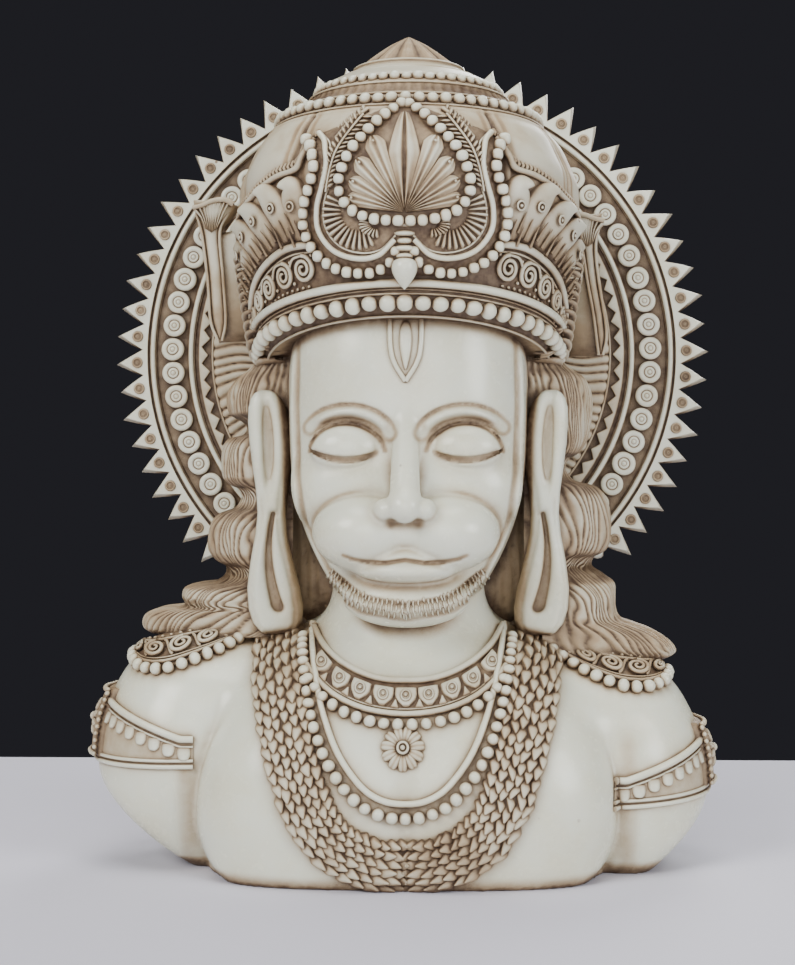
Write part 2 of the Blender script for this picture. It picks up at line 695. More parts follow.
def face_stain(p):
    """Wash in the lines of brows, lids, lips, nose and jaw."""
    x, z = np.abs(p[:, 0]), p[:, 2]
    front = step_up(-14, -22, p[:, 1])
    brow, _ = path_distance(x, z, BROW_LINE)
    crease, _ = path_distance(x, z, LID_LINE)
    mouth, _ = path_distance(x, z, MOUTH_LINE)
    jaw, _ = path_distance(x, z, JAW)
    slit = np.abs(z - (EYE_Z - 3.1 + 0.028 * (x - EYE_X) ** 2)) + 3 * np.maximum(np.abs(x - EYE_X) - 8.6, 0)
    nostril = np.hypot(x - 3.8, z - NOSE_Z + 0.6)
    line = 0.5 * hump(np.abs(brow - 1.9), 1.1) + 0.75 * hump(crease, 1.1) + 0.65 * hump(mouth, 0.9)
    line = line + 0.45 * hump(np.abs(jaw - 2.0), 1.3) + 0.6 * hump(slit, 1.5) + 0.5 * hump(nostril, 2.2)
    rim = np.hypot((x - 11) / 14.6, (z - NOSE_Z + 3.4) / 10.8) - 1
    line = line + 0.4 * hump(rim * 12 - 0.3, 1.0) * step_up(9, 16, x) * step_up(MOUTH_Z, MOUTH_Z + 5, z)
    side = 0.5 * step_up(-22, -6, p[:, 1]) + 0.3 * step_up(33.0, 34.6, x)
    under = 0.5 * step_up(76, 70, z) * step_up(-34, -26, p[:, 1])
    return np.clip(line * front, 0, 1) + side + under


def arc(cx, cz, rx, rz, a0, a1, count=15):
    """Points of an elliptic arc in the front plane, angles in degrees from the outward side."""
    a = np.radians(np.linspace(a0, a1, count))
    return np.stack([cx + rx * np.cos(a), cz + rz * np.sin(a)], 1)


BROW_LINE = arc(EYE_X, BROW_Z - 7.0, 12.2, 8.6, 162, 32)
LID_LINE = arc(EYE_X, EYE_Z - 2.2, 10.6, 9.0, 170, 10)
MOUTH_LINE = [[x, MOUTH_Z + rise] for x, rise in ((0, 3.4), (5, 2.6), (10, 2.8), (14, 3.6), (16.5, 4.6))]

head = Shape()
points, faces = mesh_field(head_field, (-38, -54, 66), (38, 8, 160), 0.6)
head.add(points, faces, face_stain(points))
FACE_NODES = ["head", "muzzle", "nose", "eyelids", "brows", "lips"]
build("head_casting", head, smooth_resin, FACE_NODES)


def on_face(x, z, h=0.0):
    """A point of the face."""
    return seen_on(head_field, -56.0, x, z, h)


def beard():
    """Fine strokes of a short beard, laid down the jaw and under the chin."""
    shape = Shape()
    jaw = curve(JAW, np.linspace(0.68, 1, 200))
    spines = []
    for side in (LEFT, RIGHT):
        for row in range(3):
            line = evenly(jaw, pitch=1.25 + 0.1 * row)
            along = unit(np.gradient(line, axis=0))
            inward = np.stack([-along[:, 1], along[:, 0]], 1)
            inward = inward * np.where((inward * ([0, 92] - line)).sum(1) > 0, 1, -1)[:, None]
            for i in range(len(line)):
                root = line[i] + inward[i] * (3.6 - 1.6 * row) + rng.normal(0, 0.15, 2)
                lean = np.array([0.02 * line[i, 0], -1.0]) + rng.normal(0, 0.06, 2)
                tip = root + lean * rng.uniform(2.0, 2.9)
                spines.append(np.array([root, (root + tip) / 2 + along[i] * 0.2, tip]) * [side, 1])
    strip(shape, on_face, spines, lambda t: 0.36 * np.sin(math.pi * np.clip(0.1 + 0.9 * t, 0, 0.95)) + 0.05,
          bulge(0.1, 0.4), rows=6, cols=5, sink=0.25, stain=0.5)
    return shape


build("beard_strokes", beard(), smooth_resin, ["beard"])


# The forehead mark: two upright bars that meet in a point, round a drop.
mark = Shape()
bar = np.array([[-4.3, 2], [-4.1, -8], [-3.0, -13], [0, -18]]) + [0, HAIRLINE_Z]
for s in (LEFT, RIGHT):
    line = smooth(bar * [s, 1], 40)
    tube(mark, on_face(*line.T, 0.15), 0.75)
drop_half = lambda t: 2.0 * np.sin(math.pi * t ** 0.75) ** 0.8 + 0.05
drop_spine = [[0, HAIRLINE_Z - down] for down in (1, 8, 15.5)]
strip(mark, on_face, drop_spine, drop_half, bulge(0, 1.1, power=0.5), rows=20)
build("tilak_mark", mark, smooth_resin, ["tilak"])


# ---------------------------------------------------------------- ears

EAR_HALF = [[64, 3], [65.6, 5.2], [68, 6.8], [72, 7.5], [78, 7.2], [86, 5.7], [93, 4.3], [99, 3.8],
            [105, 4.3], [112, 5.3], [119, 5.9], [125, 5.8], [129, 5.2], [131.5, 4.2], [133, 3.0],
            [134, 1.4]]


def ear_lines(x, z):
    """Sideways distances from the ear's own middle line and from the groove of its lobe."""
    x = x - 38.6 - 0.055 * (z - 98) - 0.9 * np.sin((z - 66) / 11)
    return x, x + 0.9 - 1.4 * np.sin((z - 72) / 9)


def ear_field(p):
    """One ear on the +X side: an upright leaf above with a narrow fold, and a long grooved lobe below."""
    z = p[..., 2]
    x, bend = ear_lines(p[..., 0], z)
    y = p[..., 1] + 10.5 + 0.20 * x + 0.03 * (z - 100)
    half, r = table(z, EAR_HALF), 3.3
    flat = np.maximum(np.abs(x) - half, np.maximum(z - 134, 64.5 - z))
    a, b = flat + r, np.abs(y) - 5.2 + r
    d = np.minimum(np.maximum(a, b), 0) + np.hypot(np.maximum(a, 0), np.maximum(b, 0)) - r
    lower = np.hypot(np.maximum(np.abs(z - 86) - 13, 0), bend) - 0.45 - 0.055 * np.maximum(92 - z, 0)
    upper = (np.hypot((z - 119) / 10, (x - 0.5 + 0.03 * (z - 119)) / 1.3) - 1) * 1.3
    d = carve(d, np.maximum(lower, y + 3.4), 1.9)
    d = carve(d, np.maximum(upper, y + 3.6), 2.2)
    rim = np.exp(-((np.abs(x - 0.1) - half + 1.7) / 0.5) ** 2)
    return d + 0.35 * rim * step_up(-2, -4, y) * step_up(112, 100, z)


def ear_stain(p):
    """Wash in the ear's folds, down its rim and behind it."""
    y, z = p[:, 1], p[:, 2]
    x, bend = ear_lines(p[:, 0], z)
    low = hump(np.abs(bend), 2.2) * step_up(70, 74, z) * step_up(99, 95, z)
    high = hump(np.abs(x - 0.3), 1.8) * step_up(109, 113, z) * step_up(130, 126, z)
    inner = step_up(-2.5, -5.0, x) * step_up(100, 112, z)
    edge = 0.35 * inner + 0.12 * step_up(4.0, 6.5, np.abs(x))
    return 0.3 * (low + high) * step_up(-14, -15, y) + 0.55 * step_up(-15, -12.5, y) + edge


ear = Shape()
points, faces = mesh_field(ear_field, (24, -20, 62), (52, 1, 137), 0.6)
ear.add(points, faces, ear_stain(points))
build("ear_casting_right", ear, smooth_resin, ["ear_right"])
build("ear_casting_left", ear.mirror(), smooth_resin, ["ear_left"])


# ---------------------------------------------------------------- hair

# Outlines of the waves, from under the crown to the shoulder: [distance from the middle, height].
WAVES = {
    "left": [[42, 146], [47, 141.5], [51, 138], [53.4, 133.5], [53.2, 128.5], [50.4, 126.6],
             [48.2, 124.5], [49.5, 122], [54, 120.8], [56.2, 117.5], [56.4, 110.5], [54.2, 107.6],
             [50.6, 106], [49.6, 103.5], [51.5, 100.5], [56.2, 98.6], [58.8, 95], [59.0, 88.5],
             [56.6, 84.8], [53.4, 83], [53.6, 80.6], [57, 78.6], [62, 78], [65.6, 77], [66.4, 74.4],
             [65.6, 72.2], [68, 71.2], [73, 71], [77, 69.4], [78.2, 66.4], [76.4, 64.2], [69, 64.0],
             [60, 64.6], [50, 66]],
    "right": [[42, 146], [47, 141.5], [51, 138], [53.2, 131], [52.8, 122], [50.5, 117], [47.5, 115],
              [46.5, 112], [49, 108.5], [55.5, 106.5], [58.6, 102], [58.8, 93], [57, 88], [53.5, 86],
              [52.5, 83.5], [56, 81], [59.4, 78], [59.8, 71.5], [61.5, 68.4], [66, 66.6], [71, 64.8],
              [75.5, 62], [77.5, 59], [75, 57], [68, 57], [60, 58], [50, 60]]}
STRANDS = 34


def waved_hair(word):
    """Locks that fall in stepped waves behind the ear and sweep out over the shoulder."""
    rows, cols = 420, 230
    t = np.linspace(0, 1, rows)[:, None]
    u = np.linspace(0, 1, cols)[None]
    line = curve(WAVES[word], t[:, 0])
    out, z = line[:, :1], line[:, 1:]
    flare = step_up(80, 74, z)
    inner = 33 + 5 * flare
    front = -7 - 5 * step_up(84, 74, z)
    back = 45 - 12 * step_up(86, 72, z)
    angle = u * math.pi - math.pi / 2
    c, s = np.cos(angle), np.sin(angle)
    lobe = 0.9 * np.sin(u * 11 + z / 9) * step_up(0, 0.1, t) * (1 - flare)
    x = inner + (out + lobe - inner) * np.sign(c) * np.abs(c) ** 0.60
    y = (front + back) / 2 + (back - front) / 2 * np.sign(s) * np.abs(s) ** 0.85
    outward = np.gradient(out, axis=0)
    slope = outward / (np.hypot(outward, np.gradient(z, axis=0)) + 1e-6)
    sway = 0.45 * np.sin(z / 3.9) + 0.9 * slope
    phase = u * STRANDS + sway + 0.5 * np.sin(u * 31) + 0.2 * np.sin(z / 1.7 + u * 60)
    groove = 1 - np.abs(np.sin(phase * math.pi)) ** 0.45
    broad = 0.5 + 0.5 * np.sin(phase * math.pi / 2.5 + 1.0)
    depth = 0.25 - 1.0 * groove + 0.5 * broad
    points = np.stack([x + depth * c, y + depth * s, np.broadcast_to(z - 0.6 * groove, x.shape)], -1)
    points[..., 0] *= SIDES[word]
    hollow = step_up(0.35, 1.0, np.abs(slope)) * step_up(0.03, 0.06, t)
    stain = 0.06 + 0.95 * groove ** 1.3 + 0.7 * hollow * (1 - 0.75 * flare)
    return Shape().add(points, grid_faces(rows, cols), stain)


for word in SIDES:
    build(f"hair_waves_{word}", waved_hair(word), hair_resin, [f"hair_{word}"],
          flip=word == "left")


def hair_back_field(p):
    """The mass of hair behind head and neck, combed in upright grooves."""
    x, y, z = p[..., 0], p[..., 1], p[..., 2]
    d = block(p, (0, 22, 100), (41, 24.5, 46), 3.0, 4.0)
    wave = 1.2 * np.sin(z / 5.5 + 0.25 * np.sin(x / 3))
    return d - (wave + 0.55 * np.abs(np.sin(x * 1.15 + 0.5 * np.sin(z / 7))))


back_hair = Shape()
back_hair.add(*mesh_field(hair_back_field, (-46, -6, 50), (46, 50, 150), 1.1, polish=1), 0.45)
build("hair_behind", back_hair, hair_resin, ["hair_back"])


# ---------------------------------------------------------------- crown

BROW_BAND_Z, CROWN_TOP_Z = 141.6, 224
CROWN_R = [[136, 38.0], [BROW_BAND_Z, 39.6], [144, 42.6], [150, 43.6], [165, 46], [180, 48], [192, 47.8],
           [203, 43], [210, 37.2], [214, 32.5], [219, 26.5], [221, 22], [CROWN_TOP_Z, 19]]
TIPS = [[110, 0], [BROW_BAND_Z, 0.268], [210, 0.012], [CROWN_TOP_Z, 0.0]]
REFERENCE_R = 48
PETAL_RING_Z = 214.8


def crown_radius(z):
    """The crown's radius at a level, softened between the table's corners."""
    return sum(table(z + o, CROWN_R) for o in (-2, -1, 0, 1, 2)) / 5


def crown_level(angle, z, h=0.0):
    """The crown at an angle from the front, on the level that passes z beside the axis."""
    r = crown_radius(z) + h
    rise = table(z, TIPS) * r * np.cos(angle)
    return np.stack([r * np.sin(angle), AXIS_Y - r * np.cos(angle), z + rise], -1)


def on_crown(s, z, h=0.0):
    """The crown at arc length s from the front and true height z, out by h."""
    s, z, h = alike(s, z, h)
    angle = s / REFERENCE_R
    level = z.copy()
    for _ in range(6):
        level = z - table(level, TIPS) * crown_radius(level) * np.cos(angle)
    r = crown_radius(level) + h
    return np.stack([r * np.sin(angle), AXIS_Y - r * np.cos(angle), z], -1)


def crest_place(x, z, h=0.0):
    """As on_crown, but by the sideways distance that is seen from the front."""
    return on_crown(REFERENCE_R * np.arcsin(np.clip(np.asarray(x) / REFERENCE_R, -0.99, 0.99)), z, h)


def crown_dome():
    """The crown's body: lobed panels with rimmed seams over a plain drum, closed underneath."""
    rows, cols = 160, 440
    z = np.linspace(BROW_BAND_Z, CROWN_TOP_Z, rows)[:, None]
    angle = np.linspace(-math.pi, math.pi, cols, endpoint=False)[None]
    panel = np.abs(np.sin(angle * 5 + 0.25))
    dome = step_up(168, 184, z) * step_up(209.5, 203, z)
    swell = (2.3 * panel ** 0.5 - 1.2) * dome
    seam = hump(panel, 0.15) * dome
    rim = hump(panel - 0.19, 0.09) * dome
    ring = 0.7 * hump(z - 207.0, 0.9) - 1.5 * hump(z - PETAL_RING_Z, 3.0) + 0.5 * hump(z - 221.6, 0.8)
    petals = 0.35 * np.sin(angle * 64) * hump(z - PETAL_RING_Z, 2.6)
    points = crown_level(angle, z, swell + ring + petals - 1.1 * seam + 0.6 * rim)
    band = step_up(141, 142.5, z) * step_up(172, 166, z) * step_up(2.1, 1.9, np.abs(angle))
    stain = 0.1 + 0.78 * band + 0.9 * seam + 0.4 * hump(panel - 0.34, 0.14) * dome
    stain = stain + 0.75 * hump(z - PETAL_RING_Z, 4.0) + 0.5 * hump(z - 208.6, 1.6) + 0.35 * hump(z - 221, 2)
    stain = stain + 0.30 * step_up(190, 176, z) * (1 - band)
    shape = Shape()
    shape.add(points, grid_faces(rows, cols, wrap_cols=True), stain)
    under = np.stack([crown_level(angle[0], BROW_BAND_Z, h) for h in (0, -0.4, -4, -14)])
    under[1:, :, 2] += np.array([0.2, 0.8, 1.2])[:, None]
    shape.add(under, grid_faces(4, cols, wrap_cols=True), 0.45)
    return shape


build("crown_casting", crown_dome(), carved_resin, ["crown_body"])


def ring_beads(name, node, level, radius, pitch, out, reach):
    """Beads round the crown at one level, plus a fine cord above and below."""
    shape = Shape()
    angle = np.linspace(-reach, reach, 400)
    beads(shape, evenly(crown_level(angle, level, out), pitch=pitch), radius)
    for gap in (-1, 1):
        tube(shape, crown_level(angle, level + gap * (radius + 0.55), out - 0.7), 0.4, sides=6, stain=0.3)
    build(name, shape, smooth_resin, [node])


ring_beads("brow_beads", "crown_band_pearls", 144.2, 2.25, 4.7, 1.2, 2.35)
ring_beads("lower_dome_beads", "dome_pearls_lower", 210.6, 1.7, 3.6, 0.9, 3.13)
ring_beads("upper_dome_beads", "dome_pearls_upper", 219.2, 1.45, 3.1, 0.6, 3.13)

rim = Shape()
angle = np.linspace(-2.4, 2.4, 400)
tube(rim, crown_level(angle, 150.0, 0.9), 1.2, sides=10)
tube(rim, crown_level(angle, 148.5, 0.1), 0.4, sides=6, stain=0.4)
build("brow_rim", rim, smooth_resin, ["crown_band"])


def spiral(shape, place, centre, radius, rounds, thick):
    """A rolled volute: a cord that winds in and thins towards its eye."""
    t = np.linspace(0, 1, 70)
    r = radius * (1 - 0.86 * t)
    a = t * rounds * 2 * math.pi + math.pi / 2
    path = place(centre[0] + r * np.cos(a), centre[1] + r * np.sin(a), 0.55 + 0.5 * t)
    tube(shape, path, thick * (1 - 0.45 * t), sides=7)


# Places on the crown's sides are [arc length from the front, height].
VOLUTES = [[31.2, 165.2, 3.6], [39.4, 163.8, 3.5], [47.7, 161.2, 3.2], [56, 158.2, 2.8],
           [63.6, 154.8, 2.4], [70.4, 151.6, 2.0]]
ARCH = [[27, 171.5], [36, 171], [46, 168], [56, 163.5], [66, 157], [76, 149]]
DOTS = [[30, 160.5], [42, 158.8], [54, 154.6], [66, 148.5]]


def crown_side(side):
    """on_crown for one side of the crown."""
    return lambda s, z, h: on_crown(side * s, z, h)


def scrolls(side):
    """A row of volutes with tails and beads under a rounded arch, over a row of dots."""
    shape = Shape()
    place = crown_side(side)
    for s, z, r in VOLUTES:
        spiral(shape, place, (s, z), r, 2.1, 0.78)
        tail = smooth([[s + 0.2, z + r], [s + r * 1.1, z + r * 0.75], [s + r * 1.7, z - r * 0.3]], 14)
        tube(shape, place(*tail.T, 0.5), 0.5, sides=6)
        beads(shape, place(np.array([s + r * 1.15, s - r * 0.9]), np.array([z - r, z + r]), 0.4), 0.55)
    arch = smooth(ARCH, 90)
    tube(shape, place(*arch.T, 0.9), 1.1, sides=9)
    tube(shape, place(*(arch - [0, 1.9]).T, 0.3), 0.4, sides=6)
    beads(shape, place(*evenly(smooth(DOTS, 60), pitch=2.2).T, 0.2), 0.55)
    return shape


for word, side in SIDES.items():
    build(f"crown_volutes_{word}", scrolls(side), carved_resin, [f"crown_scrolls_{word}"])


def stud(shape, place, a, b, r, h):
    """A small raised ring with a dot in it."""
    turn = turns(20)
    tube(shape, place(a + r * np.cos(turn), b + r * np.sin(turn), h), r * 0.26, sides=6, closed=True)
    beads(shape, [place(a, b, h)], r * 0.42)


PLUMES = [[[29.5, 172.5], [31, 179], [32.2, 187]], [[34.5, 172.5], [37, 179.5], [42.5, 186.5]],
          [[41.5, 171], [45.5, 177.5], [53, 183]], [[48.5, 168.5], [53.5, 174.5], [62.5, 179.5]],
          [[55.5, 165], [61.5, 170.5], [71.5, 175]], [[62.5, 160.5], [69.5, 165.5], [79, 170]],
          [[69.5, 155.5], [76.5, 160], [86, 164.5]]]
PLUME_EDGE = [[26, 199.5], [28.5, 195], [31, 191.5], [38, 190.3], [46.5, 187.8], [53, 185.5], [60, 183.8],
              [70, 179.5], [81, 174]]


def plume(shape, place, k, spine):
    """Flame-shaped leaf k, counted from the crest, with a ringed eye and three veins."""
    size = 4.7 - 0.2 * k

    def half_width(t):
        return size * np.clip(0.62 + 1.3 * t, 0, 1) * np.clip((1.02 - t) * 1.9, 0, 1) ** 0.9 + 0.1

    def lift(t):
        return (1.5 + 2.2 * t + 0.3 * (k % 2)) * np.clip((1.03 - t) * 7, 0, 1) ** 0.4

    hook = np.array(spine[2]) + [4.4, 0.6]
    strip(shape, place, [*spine, hook], half_width, lift, rows=36, cols=21, sink=1.8, power=0.3, curl=0.5,
          stain=0.8)
    eye = curve(spine, np.array([0.66]))[0]
    stud(shape, place, eye[0], eye[1], 1.2, 3.3)
    t = np.linspace(0, 1, 14)
    for across in (-0.55, 0, 0.55):
        vein = curve(np.array(spine) + [across * size, -across * size * 0.7], np.linspace(0.02, 0.42, 14))
        tube(shape, place(*vein.T, 1.9 + 0.9 * t), np.linspace(0.5, 0.12, 14), sides=6, stain=0.6)


def side_ribs(shape, place):
    """A stack of comma-shaped ribs at the end of the band, beside the ear."""
    half_width = lambda t: 1.35 * np.sin(math.pi * np.clip(0.08 + 0.9 * t, 0, 1)) ** 0.6
    for k in range(12):
        z = 140.5 + 2.7 * k
        spine = [[66 - 0.6 * k, z + 2.6], [73, z + 1.9], [80, z - 0.4], [84 * (1 - 0.035 * k) + 3, z - 2.6]]
        strip(shape, place, spine, half_width, bulge(1.2, 2.8, 0.05, 0.95, 0.7), rows=18, sink=3.0,
              stain=0.75)


def foliage(shape, place):
    """Small leaves strewn over the gaps between plumes and ribs."""
    half_width = lambda t: 1.4 * np.sin(math.pi * np.clip(t, 0.02, 1) ** 0.42) ** 0.75 * (1 - 0.25 * t) + 0.1
    for _ in range(70):
        root = np.array([rng.uniform(60, 92), rng.uniform(143, 178)])
        tip = heading(rng.uniform(-1.4, 1.4)) * rng.uniform(2.4, 4.0)
        if root[1] > 177 - 0.4 * (root[0] - 60):
            continue
        spine = [root, root + tip * 0.5 + [0.4, 0], root + tip]
        strip(shape, place, spine, half_width, bulge(1.2, 1.2), rows=9, cols=7, sink=1.6, fold=0.4, stain=0.7)


def plumes(side):
    """Flame-shaped leaves that curl outwards over the arch, under a roped edge."""
    shape = Shape()
    place = crown_side(side)
    for k, spine in enumerate(PLUMES):
        plume(shape, place, k, spine)
    edge = smooth(PLUME_EDGE, 200)
    tube(shape, place(*edge.T, 1.3), 0.95, sides=8, stain=0.1)
    for point in evenly(edge + [0.2, 1.5], pitch=1.45):
        knot = np.array([point - [0.5, 1.0], point, point + [0.3, 1.1]])
        tube(shape, place(*knot.T, np.array([1.2, 1.5, 0.5])), 0.52, sides=6, stain=0.25)
    side_ribs(shape, place)
    foliage(shape, place)
    return shape


for word, side in SIDES.items():
    build(f"crown_plumes_{word}", plumes(side), carved_resin, [f"crown_leaves_{word}"])


def ribbon(side):
    """A pleated ribbon end that flares beside the crown, and its long smooth tail."""
    shape = Shape()
    lean, low, wide = (0, 0, 2.2) if side == LEFT else (-7.0, -4.5, 1.5)

    def place(x, z, h):
        """x and z as seen from the front, h towards it."""
        x = x + lean * step_up(150, 190, z)
        return np.stack([side * x, 13 - h + 0.020 * (x - 58) ** 2, z + low], -1)

    def flare(t):
        return (wide + 0.3 * t) * np.clip(0.25 + 5 * t, 0, 1) + 4.2 * step_up(0.68, 1.0, t) ** 1.3

    tail = [[56.4, 150], [57.2, 160], [58.0, 171], [59.2, 182.5], [58.2, 191.6]]
    strip(shape, place, tail, flare, lambda t: 1.6 + 1.6 * step_up(0.7, 0.95, t), rows=80, cols=33, sink=4,
          power=0.45, stain=0.75)
    web = [[50.5, 150], [51.5, 167], [53, 183]]
    strip(shape, place, web, ramp(7.0, -2.5), ramp(0.3), rows=24, cols=15, sink=2.6, power=0.3, stain=0.9)
    for k in range(-4, 5):
        foot = [59.0 + 0.35 * k, 181.6 + 0.3 * abs(k)]
        top = [58.6 + 1.32 * k, 191.2 - 0.32 * k - 0.05 * k * k]
        pleat = [foot, [58.9 + 0.75 * k, 186.6], top]
        strip(shape, place, pleat, ramp(0.3, 0.5), ramp(2.2, 1.3), sink=1.6, stain=0.8)
    lip = smooth([[52.4, 190.4], [55, 191.6], [58.6, 191.2], [61.6, 190.0], [64.4, 189.4]], 40)
    tube(shape, place(*lip.T, 3.1), np.linspace(0.9, 0.7, 40), sides=9, stain=0.2)
    for edge in (-1, 1):
        seam = smooth([[56.4 + 0.6 * edge, 150], [57.0 + wide * edge, 156], [57.8 + (wide + 0.1) * edge, 168],
                       [59.2 + (wide + 0.5) * edge, 182], [58.8 + (wide + 2.6) * edge, 188]], 60)
        tube(shape, place(*seam.T, 1.5), 0.5, sides=7, stain=0.2)
    return shape


for word, side in SIDES.items():
    build(f"crown_ribbon_{word}", ribbon(side), carved_resin, [f"crown_fan_{word}"])

# ---- crest: a heart-shaped plaque with curled shoulders, a drop of palm leaf inside it and a stem below.
# Its outlines are [distance from the middle, height], for one half.

HEART = [[2.5, 168.5], [4.5, 165], [10, 163], [17, 163.8], [23, 167.5], [26.3, 173.5], [26.4, 180],
         [24.3, 186.5], [23.2, 192], [24.6, 197], [26.5, 199.3]]
HEART_CORD = [[2.5, 171.5], [7, 167.6], [13, 166.9], [19, 169.2], [22.6, 174.5], [22.6, 180.5],
              [20.8, 186.5], [19.8, 192.5], [21, 198], [23.5, 201]]
DROP = [[0, 176.2], [7, 176.8], [13.2, 179.2], [16.4, 184.6], [15.4, 191], [11.6, 198], [6.2, 204.4],
        [0, 209.4]]
GROUND_HALF = [[162.5, 15], [165, 23], [170, 26], [177, 27.5], [186, 26], [192, 25.5], [198, 27],
               [201, 25], [205, 13], [209, 4]]
LEAF_HALF = [[176.6, 7], [179.6, 13], [184.6, 16], [191, 15], [198, 11.3], [204.6, 5.6], [209.2, 0.4]]


def both_halves(half, h):
    """A crest outline, left half and then right, h out from the crown."""
    return [crest_place(*(half * [s, 1]).T, h) for s in (LEFT, RIGHT)]


def bead_rows(name, node, rows, radius, square=1.0):
    """A piece made of rows of beads. radius may go from one value to another along each row."""
    shape = Shape()
    for row in rows:
        size = np.linspace(*radius, len(row)) if isinstance(radius, tuple) else radius
        beads(shape, row, size, square=square)
    build(name, shape, smooth_resin, [node])


def crest_ground():
    """The plaque's ground, swelling a little out of the crown."""
    u, v = np.meshgrid(np.linspace(-1, 1, 110), np.linspace(0, 1, 110))
    z = 162.5 + 46.5 * v
    x = u * table(z, GROUND_HALF)
    rounded = [np.clip(edge, 0, 1) ** 0.5 for edge in ((1 - np.abs(u)) * 6, v * 12, (1 - v) * 9)]
    h = 1.7 * rounded[0] * rounded[1] * rounded[2] - 1.0 * (np.abs(u) > 0.99)
    shape = Shape()
    sheet(shape, crest_place(x, z, h + 0.18 * np.sin(x * 2.6) * np.sin(z * 2.6)), 0.72)
    return shape


build("crest_ground", crest_ground(), carved_resin, ["crest_plate"])

cords = Shape()
outer = smooth(HEART_CORD, 160)
fine = outer + (outer - [0, 186]) * -0.075
for thick_path, fine_path in zip(both_halves(outer, 2.1), both_halves(fine, 1.8)):
    tube(cords, thick_path, 0.85, sides=9)
    tube(cords, fine_path, 0.35, sides=6)
build("crest_cords", cords, smooth_resin, ["crest_cord"])

heart_rows = [evenly(path, pitch=3.15) for path in both_halves(smooth(HEART, 300), 2.1)]
bead_rows("crest_heart_beads", "crest_pearls", heart_rows, (1.35, 1.6), square=0.78)
drop_rows = [evenly(path, pitch=3.15, inset=1.6) for path in both_halves(smooth(DROP, 200), 2.7)]
bead_rows("crest_drop_beads", "crest_leaf_pearls", drop_rows, 1.5, square=0.85)


def palm_leaf():
    """Nine blades that fan out from one point, the middle one tall and pointed, over the drop's ground."""
    shape = Shape()
    base = np.array([0.0, 178.4])
    u, v = np.meshgrid(np.linspace(-1, 1, 60), np.linspace(0, 1, 60))
    z = 176.6 + 32.6 * v
    sheet(shape, crest_place(u * table(z, LEAF_HALF), z, 2.0 - 1.2 * u ** 6), 0.75)
    blades = ((22.5, 22.5, 2.9), (40, 19.0, 2.7), (57, 16.6, 2.5), (73, 15.2, 2.3))
    for lean, length, wide in [(0, 28.0, 4.3)] + [(s * a, r, w) for s in (LEFT, RIGHT) for a, r, w in blades]:
        direction = heading(math.radians(lean))
        spine = [base + direction * length * k for k in (0.02, 0.5, 1.0)]
        tip = 0.86 if lean else 0.55

        def half_width(t, w=wide, tip=tip):
            return w * np.clip(t / tip, 0.03, 1) ** 0.9 * np.sqrt(np.clip((1 - t) / (1 - tip), 0, 1)) + 0.12

        strip(shape, crest_place, spine, half_width, bulge(2.8, 0.9, 0.1, 0.95), rows=36, cols=21, sink=1.2,
              grooves=3, depth=0.55, power=0.16, fold=0 if lean else 0.7, stain=0.6)
        if lean:
            beads(shape, [crest_place(*(base + direction * length * 0.9), 3.6)], 0.36, 0)
    return shape


build("crest_palm_leaf", palm_leaf(), carved_resin, ["crest_leaf"])


def feathers():
    """Fluted fans low in the plaque, and barbed feathers up its sides."""
    shape = Shape()
    for s in (LEFT, RIGHT):
        place = lambda x, z, h, s=s: crest_place(s * x, z, h)
        centre = np.array([11.5, 179.0])
        for k in range(14):
            d = heading(math.radians(62 + 10.5 * k))
            near, far = 4.4, 9.6 + 0.9 * math.sin(k / 13 * math.pi)
            spine = [centre + d * near, centre + d * (near + far) / 2, centre + d * far]
            strip(shape, place, spine, ramp(0.5, 0.38), ramp(2.3, 0.8), rows=9, sink=1.2, stain=0.7)
        centre = np.array([7.2, 175.6])
        for k in range(8):
            d = heading(math.radians(75 + 15 * k)) * [1, 0.75]
            spine = [centre + d * out for out in (1.4, 3.0, 4.8)]
            strip(shape, place, spine, ramp(0.42, 0.25), ramp(2.8, 0.5), rows=7, cols=7, sink=1.2, stain=0.7)
        shaft = smooth([[20.0, 184.5], [18.6, 191.5], [16.0, 198.5], [12, 205.5]], 50)
        tube(shape, place(*shaft.T, 2.2), 0.4, sides=6)
        along = unit(np.gradient(shaft, axis=0))
        for i in range(2, 49, 3):
            for way in (-1, 1):
                across = np.array([along[i, 1], -along[i, 0]]) * way
                tip = shaft[i] + across * (2.0 + i * 0.03) + along[i] * 1.7
                spine = [shaft[i], (shaft[i] + tip) / 2 + along[i] * 0.1, tip]
                strip(shape, place, spine, bulge(0.1, 0.58, 0.15, 0.9), bulge(2.2, 0.7), rows=7, cols=7,
                      sink=1.0, stain=0.7)
        shaft = smooth([[18.5, 199], [15.5, 203.5], [11.5, 207.5]], 30)
        tube(shape, place(*shaft.T, 1.4), 0.6, sides=6)
        for root in shaft[2:29:3]:
            spine = [root, root + [0.8, 1.2], root + [1.6, 2.4]]
            strip(shape, place, spine, ramp(0.5), ramp(1.6), rows=6, cols=5, sink=1)
    return shape


build("crest_feather_relief", feathers(), carved_resin, ["crest_feathers"])

stem = Shape()
stem_at = crest_place(0, 168, 2.6)
for z, r in ((175.6, 2.3), (173.2, 2.9), (171.2, 2.2), (169.2, 3.0), (167.2, 2.4)):
    stem.add(np.array([stem_at[0], stem_at[1] + 0.5, z]) + SPHERE * [r, 1.9, 1.05], SPHERE_FACES)
pendant = smooth([[0.02, 158.4], [1.3, 159.8], [2.9, 162.2], [3.4, 164.2], [2.7, 166.1], [0.02, 167]], 26)
lathe(stem, pendant, (0, stem_at[1] + 0.2, 0), 36)
build("crest_stem_and_drop", stem, smooth_resin, ["crest_drop"])

# ---- finial: lotus petals under a ribbed bud

